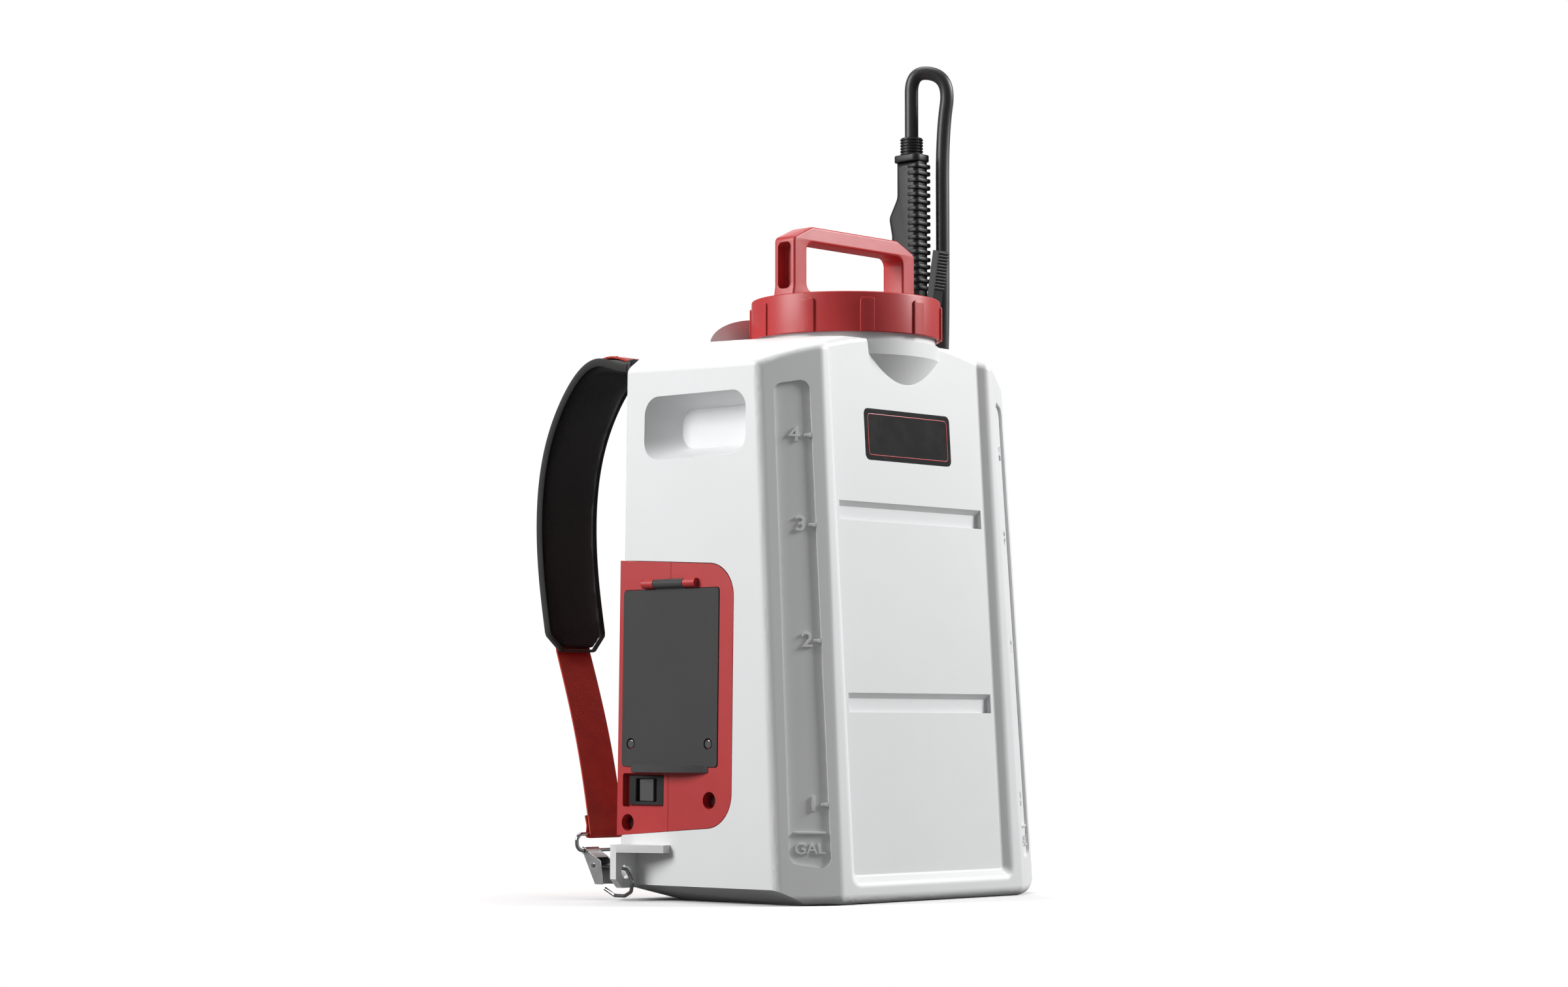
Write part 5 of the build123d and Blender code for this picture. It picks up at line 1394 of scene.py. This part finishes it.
# ---------------------------------------------------------------- harness
class StrapCurve:
    """Smooth side view of a shoulder strap through its points, in metres."""

    points: tuple[Point2, ...] = (
        (105.3, 427.0),
        (139.0, 434.0),
        (181.0, 402.0),
        (206.5, 326.0),
        (203.0, 250.0),
        (194.0, 200.0),
    )

    def __init__(self) -> None:
        """Solve the cubic through the points, with its two end directions."""
        self.knots = np.array(self.points) * MM
        steps = np.linalg.norm(np.diff(self.knots, axis=0), axis=1)
        self.at = np.concatenate([[0], np.cumsum(steps)])
        count = len(self.knots)
        system = np.zeros((count, count))
        right = np.zeros((count, 2))
        ends = (np.array([1.0, 0.0]), np.array([-0.18, -1.0]) / math.hypot(0.18, 1))
        system[0, 0] = system[-1, -1] = 1
        right[0], right[-1] = ends
        for n in range(1, count - 1):
            a, b = steps[n - 1], steps[n]
            system[n, n - 1 : n + 2] = (b, 2 * (a + b), a)
            slope_in = (self.knots[n] - self.knots[n - 1]) / a
            slope_out = (self.knots[n + 1] - self.knots[n]) / b
            right[n] = 3 * (b * slope_in + a * slope_out)
        self.slopes = np.linalg.solve(system, right)

    def place(self, share: float) -> tuple[Vector, Vector]:
        """Point and direction at a share of the length, as (y, z).

        Args:
            share: share of the length, from 0 to 1.

        Returns:
            The point and the direction there.
        """
        t = share * self.at[-1]
        n = min(len(self.at) - 2, int(np.searchsorted(self.at, t, side="right")) - 1)
        h = self.at[n + 1] - self.at[n]
        u = (t - self.at[n]) / h
        p, q = self.knots[n], self.knots[n + 1]
        a, b = self.slopes[n] * h, self.slopes[n + 1] * h
        spot = (
            p * (2 * u**3 - 3 * u**2 + 1)
            + a * (u**3 - 2 * u**2 + u)
            + q * (3 * u**2 - 2 * u**3)
            + b * (u**3 - u**2)
        )
        way = p * (6 * u**2 - 6 * u) + a * (3 * u**2 - 4 * u + 1) + q * (6 * u - 6 * u**2) + b * (3 * u**2 - 2 * u)
        return Vector(spot), Vector(way).normalized()

    def length(self) -> float:
        """Length of the curve."""
        return float(self.at[-1])


@dataclass
class HarnessSizes:
    """Sizes of one shoulder strap, in metres."""

    x: float = 0.1115
    width: float = 0.065
    thickness: float = 0.008
    webbing: float = 0.038
    webbing_thickness: float = 0.0018
    ring_x: float = 0.154
    ring_y: float = 0.118
    ring_top: float = 0.0532
    corner: float = 0.013
    rim: float = 0.0018
    # the tape sewn over the pad's edges: how far inside them, and its section
    binding_inset: float = 0.001
    binding_thick: float = 0.0011
    binding_deep: float = 0.0033
    binding_width: float = 0.0075
    gap: float = 0.0003
    ring_wire: float = 0.0015
    seam: float = 0.0155


class Harness(SubAssembly):
    """Shoulder straps with their anchors, rings and clips."""

    title = "harness"
    sizes = HarnessSizes()
    rows: int = 96

    def build(self) -> None:
        """Make and dress both straps."""
        self.line = StrapCurve()
        f = self.finishes
        for side, name in ((-1, "left"), (1, "right")):
            self.pad(side, name)
            self.binding(side, name)
            self.webbing(side, name)
            self.stitches(side, name)
            self.skin(f"{name}_strap_anchor", f.black, bevel=1.0 * MM)
            self.skin(f"{name}_strap_ring", f.chrome)
            self.skin(f"{name}_strap_clip", f.plated, bevel=0.25 * MM)
            self.skin(f"{name}_clip_hook", f.chrome, f"{name}_hook")

    def frame_at(self, share: float, side: int, shift: float = 0.0) -> tuple[Vector, Vector]:
        """Middle point of the strap and its outward direction, in space.

        Args:
            share: share of the strap's length.
            side: -1 for the left strap, 1 for the right.
            shift: how far the point is moved outwards.

        Returns:
            The point and the outward direction.
        """
        spot, way = self.line.place(share)
        out = Vector((0, -way.y, way.x))
        middle = Vector((side * self.sizes.x, spot.x, spot.y)) + out * shift
        return middle, out

    def half_width_at(self, share: float) -> float:
        """Half width of the pad, cut back to its chamfered lower end.

        Args:
            share: share of the pad's length.

        Returns:
            Half the width there.
        """
        left = (1 - share) * self.line.length()
        half = self.sizes.width / 2
        if left >= self.sizes.corner:
            return half
        return half - self.sizes.corner + left

    def flat_ring(
        self, middle: Vector, out: Vector, half: float, along: float, cells: int, thick_at: Callable[[float], float]
    ) -> Ring:
        """Ring around a flat band: across its outer face and back across its inner one.

        Args:
            middle: the band's middle point.
            out: its outward direction.
            half: its half width.
            along: how far along the band the ring stands.
            cells: steps across each face.
            thick_at: half the thickness, from the place across between -1 and 1.

        Returns:
            The ring's points with their places across and along.
        """
        ring: Ring = []
        for face in (1, -1):
            for cell in range(cells + 1):
                u = (cell / cells * 2 - 1) * face
                spot = middle + Vector((u * half, 0, 0)) + out * (thick_at(u) * face)
                ring.append((spot, (u * half, along)))
        return ring

    def band_mesh(self, name: str, rings: list[Ring]) -> Piece:
        """Closed tube of quads through rings of points, with a UV map in metres.

        Args:
            name: the piece's name.
            rings: one closed ring for each step along, each point with its place across and along.

        Returns:
            The piece.
        """
        mesh = bmesh.new()
        rows = [[mesh.verts.new(spot) for spot, _ in ring] for ring in rings]
        layer = mesh.loops.layers.uv.new("cloth")
        places = {vert: place for row, ring in zip(rows, rings) for vert, (_, place) in zip(row, ring)}
        count = len(rows[0])
        for above, below in zip(rows, rows[1:]):
            for n in range(count):
                m = (n + 1) % count
                mesh.faces.new((above[n], above[m], below[m], below[n]))
        mesh.faces.new(rows[0][::-1])
        mesh.faces.new(rows[-1])
        for face in mesh.faces:
            for loop in face.loops:
                loop[layer].uv = places[loop.vert]
        bmesh.ops.recalc_face_normals(mesh, faces=mesh.faces)
        smooth_by_angle(mesh, 50)
        data = bpy.data.meshes.new(name)
        mesh.to_mesh(data)
        mesh.free()
        return new_object(name, data)

    def pad(self, side: int, name: str) -> None:
        """Foam pad in its cloth cover, thin at its bound edges and round over its filling.

        Args:
            side: -1 for the left strap, 1 for the right.
            name: the strap's name, "left" or "right".
        """
        s = self.sizes
        rings: list[Ring] = []
        inset, filling = 0.004, s.thickness / 2 - 0.0026

        def thick_at(u: float) -> float:
            """Half the thickness across the filling."""
            swell = (1 - abs(u) ** 5) ** 0.5 if abs(u) < 1 else 0.0
            return s.rim + filling * swell

        for row in range(self.rows + 1):
            share = inset + (1 - 2 * inset) * row / self.rows
            middle, out = self.frame_at(share, side)
            half = self.half_width_at(share) - 0.0014
            rings.append(self.flat_ring(middle, out, half, share * self.line.length(), 18, thick_at))
        pad = self.band_mesh(f"{name}_pad", rings)
        swollen(pad, 4.0, 0.0009)
        self.dress(pad, self.finishes.pad, "sprayer", (f"{name}_strap_pad",))

    def pad_edge(self, side: int, hand: int) -> list[tuple[Vector, Vector]]:
        """Line just inside one long edge of the pad, from its top, with its outward directions.

        Args:
            side: -1 for the left strap, 1 for the right.
            hand: -1 or 1, for the pad's own left or right edge.

        Returns:
            The points with their outward directions.
        """
        path: list[tuple[Vector, Vector]] = []
        for row in range(self.rows + 1):
            share = row / self.rows
            middle, out = self.frame_at(share, side)
            reach = hand * (self.half_width_at(share) - self.sizes.binding_inset)
            path.append((middle + Vector((reach, 0, 0)), out))
        return path

    def binding(self, side: int, name: str) -> None:
        """Woven tape folded over the pad's edges, down one side, round its end and up the other.

        Args:
            side: -1 for the left strap, 1 for the right.
            name: the strap's name, "left" or "right".
        """
        s = self.sizes
        path = self.pad_edge(side, 1)
        middle, out = self.frame_at(1, side)
        half = self.half_width_at(1) - s.binding_inset
        path += [(middle + Vector((half * (1 - n / 6), 0, 0)), out) for n in range(1, 12)]
        path += self.pad_edge(side, -1)[::-1]
        rings: list[Ring] = []
        run, steps = 0.0, 14
        for n, (spot, out) in enumerate(path):
            before = path[max(n - 1, 0)][0]
            ahead = path[min(n + 1, len(path) - 1)][0] - before
            away = ahead.normalized().cross(out).normalized()
            run += (spot - before).length
            ring: Ring = []
            for step in range(steps):
                a = 2 * math.pi * step / steps
                point = spot + away * (s.binding_thick * math.cos(a)) + out * (s.binding_deep * math.sin(a))
                ring.append((point, (s.binding_width * step / steps, run)))
            rings.append(ring)
        tape = self.band_mesh(f"{name}_pad_binding", rings)
        self.dress(tape, self.finishes.binding)

    def webbing(self, side: int, name: str) -> None:
        """Webbing over the pad, down to the ring, round it and sewn back onto itself.

        Args:
            side: -1 for the left strap, 1 for the right.
            name: the strap's name, "left" or "right".
        """
        s = self.sizes
        offset = s.thickness / 2 + s.gap + s.webbing_thickness / 2
        spots = [self.frame_at(row / 48, side, offset) for row in range(49)]
        top, out_top = spots[-1]
        loop_r = s.ring_wire + s.gap + s.webbing_thickness / 2
        ring_middle = Vector((side * s.ring_x, s.ring_y, s.ring_top - s.ring_wire))
        foot = ring_middle + Vector((0, -loop_r, 0.0))
        way = (foot - top).normalized()
        facing = Vector((0, way.z, -way.y)).normalized()
        if facing.y < 0:
            facing.negate()
        for row in range(1, 31):
            u = row / 30
            sag = 0.004 * math.sin(math.pi * u)
            out = out_top.lerp(facing, min(1.0, row / 5)).normalized()
            spots.append((top.lerp(foot, u) - Vector((0, sag, 0)), out))
        for row in range(1, 13):
            a = math.pi * (1 + row / 12)
            way_out = Vector((0, -math.cos(a), -math.sin(a)))
            spots.append((ring_middle + Vector((0, loop_r * math.cos(a), loop_r * math.sin(a))), way_out))
        for row in range(1, 7):
            apart = s.webbing_thickness + 0.0002 + (2 * loop_r - s.webbing_thickness) * max(0.0, 1 - row / 3)
            spots.append((foot - way * (0.003 * row) + facing * apart, -facing))
        rings: list[Ring] = []
        run, half, thick = 0.0, s.webbing / 2, s.webbing_thickness / 2

        def thick_at(u: float) -> float:
            """Half the thickness, less at the selvedges."""
            return thick * (1.0 if abs(u) < 0.9 else 0.72)

        for n, (spot, out) in enumerate(spots):
            run += (spot - spots[max(n - 1, 0)][0]).length
            rings.append(self.flat_ring(spot, out, half, run, 10, thick_at))
        band = self.band_mesh(f"{name}_webbing", rings)
        self.dress(band, self.finishes.webbing, "sprayer", (f"{name}_strap_webbing",))

    def stitches(self, side: int, name: str) -> None:
        """Rows of stitches that hold the webbing on the pad.

        Args:
            side: -1 for the left strap, 1 for the right.
            name: the strap's name, "left" or "right".
        """
        offset = self.sizes.thickness / 2 + self.sizes.webbing_thickness + 0.0004
        rows = Repeater(Layout.PATH, f"{name}_stitches")
        turned = Matrix.Rotation(math.pi / 2, 4, "X")
        steps, start, length = 40, 0.1, 0.87
        spots = [self.frame_at(start + length * n / steps, side, offset)[0] for n in range(steps + 1)]
        for label, shift in (("inner", -self.sizes.seam), ("outer", self.sizes.seam)):
            line = [(middle.x + shift, middle.y, middle.z) for middle in spots]
            seam = new_object("seam", curve_through("seam", "3D", "POLY", [line]))
            stitch = plate("stitch", [rectangle(0.0006, 0.0030, 0.00029)], 0.0006, 0.0002, turned, 1)
            made = rows.run(f"{name}_stitches_{label}", stitch, self.finishes.thread, Count=72, Path=seam)
            bpy.data.objects.remove(seam)
            self.dress(made, self.finishes.thread)


# ---------------------------------------------------------------- studio
@dataclass
class Lamp:
    """One soft studio lamp."""

    name: str
    place: tuple[float, float, float]
    size: tuple[float, float]
    power: float


class Studio:
    """Pale floor, white surroundings, soft lamps and the camera."""

    aim = Vector((0, 0, 0.3))
    eye = Vector((-2.0462, -1.7983, 0.1336))
    azimuth: float = -47.7
    pitch: float = 4.07
    lens: float = 76.56
    sensor: float = 36
    ambient: float = 0.21
    floor_r: float = 14
    # distances between which the floor fades into white
    fade: Point2 = (0.20, 0.62)
    # the floor's tone as it lights the object, and as the camera sees it
    floor_tones: tuple[float, float] = (0.15, 0.86)
    lamps: tuple[Lamp, ...] = (
        Lamp("left_softbox", (-2.5, 1.4, 1.7), (1.2, 1.6), 104.0),
        Lamp("right_softbox", (2.3, -2.1, 2.0), (1.2, 1.4), 150.0),
        Lamp("top_softbox", (0.2, 0.6, 2.8), (1.4, 1.4), 34.0),
        Lamp("back_softbox", (1.9, 1.9, 1.4), (1.2, 1.4), 12.0),
    )

    def build(self) -> None:
        """Make the studio."""
        self.world()
        self.floor()
        for lamp in self.lamps:
            self.lamp(lamp)
        self.camera()

    def world(self) -> None:
        """Pale ambient light, white where it is seen."""
        world = bpy.data.worlds.new("studio")
        world.use_nodes = True
        nodes = Nodes(world.node_tree)
        rays = nodes.add("ShaderNodeLightPath").outputs
        ambient = nodes.add("ShaderNodeBackground", {0: WHITE, 1: self.ambient})
        seen = nodes.add("ShaderNodeBackground", {0: WHITE, 1: 1.0})
        either = nodes.reckon("MAXIMUM", rays["Is Camera Ray"], rays["Is Transmission Ray"])
        mix = nodes.add("ShaderNodeMixShader", {0: either, 1: ambient.outputs[0], 2: seen.outputs[0]})
        nodes.add("ShaderNodeOutputWorld", {0: mix.outputs[0]})
        bpy.context.scene.world = world

    def floor(self) -> None:
        """Round pale floor that fades into the white surroundings."""
        mesh = bmesh.new()
        bmesh.ops.create_circle(mesh, cap_ends=True, segments=96, radius=self.floor_r)
        data = bpy.data.meshes.new("floor")
        mesh.to_mesh(data)
        mesh.free()
        floor = new_object("floor", data)
        floor.location.z = -0.0002
        nodes = Weave("floor_paper")
        where = nodes.add("ShaderNodeTexCoord").outputs["Object"]
        far = nodes.add("ShaderNodeVectorMath", {0: where}, operation="LENGTH").outputs["Value"]
        near, clear = self.fade
        ramp = {0: far, 1: near, 2: clear, 3: 0.0, 4: 1.0}
        fade = nodes.add("ShaderNodeMapRange", ramp, interpolation_type="SMOOTHSTEP").outputs[0]
        camera = nodes.add("ShaderNodeLightPath").outputs["Is Camera Ray"]
        seen = nodes.reckon("MULTIPLY", camera, fade)
        tone = nodes.mixed(camera, *((shade,) * 3 for shade in self.floor_tones))
        paper = nodes.add("ShaderNodeBsdfDiffuse", {"Color": tone})
        white = nodes.add("ShaderNodeEmission", {"Color": WHITE, "Strength": 1.0})
        mix = nodes.add("ShaderNodeMixShader", {0: seen, 1: paper.outputs[0], 2: white.outputs[0]})
        data.materials.append(nodes.surfaced(mix))

    def lamp(self, lamp: Lamp) -> None:
        """Make one soft lamp that looks at the object.

        Args:
            lamp: its name, place, size and power.
        """
        data = bpy.data.lights.new(lamp.name, "AREA")
        data.shape = "RECTANGLE"
        data.size, data.size_y = lamp.size
        data.energy = lamp.power
        made = new_object(lamp.name, data)
        made.location = lamp.place
        way = self.aim - Vector(lamp.place)
        made.rotation_euler = way.to_track_quat("-Z", "Y").to_euler()

    def camera(self) -> None:
        """Set the camera at the viewing angle."""
        data = bpy.data.cameras.new("camera")
        data.lens = self.lens
        data.sensor_width = self.sensor
        data.clip_start, data.clip_end = 0.05, 60
        made = new_object("camera", data)
        turn, rise = math.radians(self.azimuth), math.radians(self.pitch)
        ahead = Vector((-math.sin(turn) * math.cos(rise), math.cos(turn) * math.cos(rise), math.sin(rise)))
        made.location = self.eye
        made.rotation_euler = ahead.to_track_quat("-Z", "Y").to_euler()
        bpy.context.scene.camera = made
        bpy.context.scene.view_settings.view_transform = "Standard"


def main() -> None:
    """Build the sprayer and its studio."""
    logging.basicConfig(level=logging.INFO, format="%(name)s %(message)s")
    finishes = Finishes()
    for kind in (Hose, Tank, Cap, DriveCompartment, SprayGun, Harness):
        group = kind(finishes)
        group.build()
        group.report()
    Studio().build()


if __name__ == "__main__":
    main()
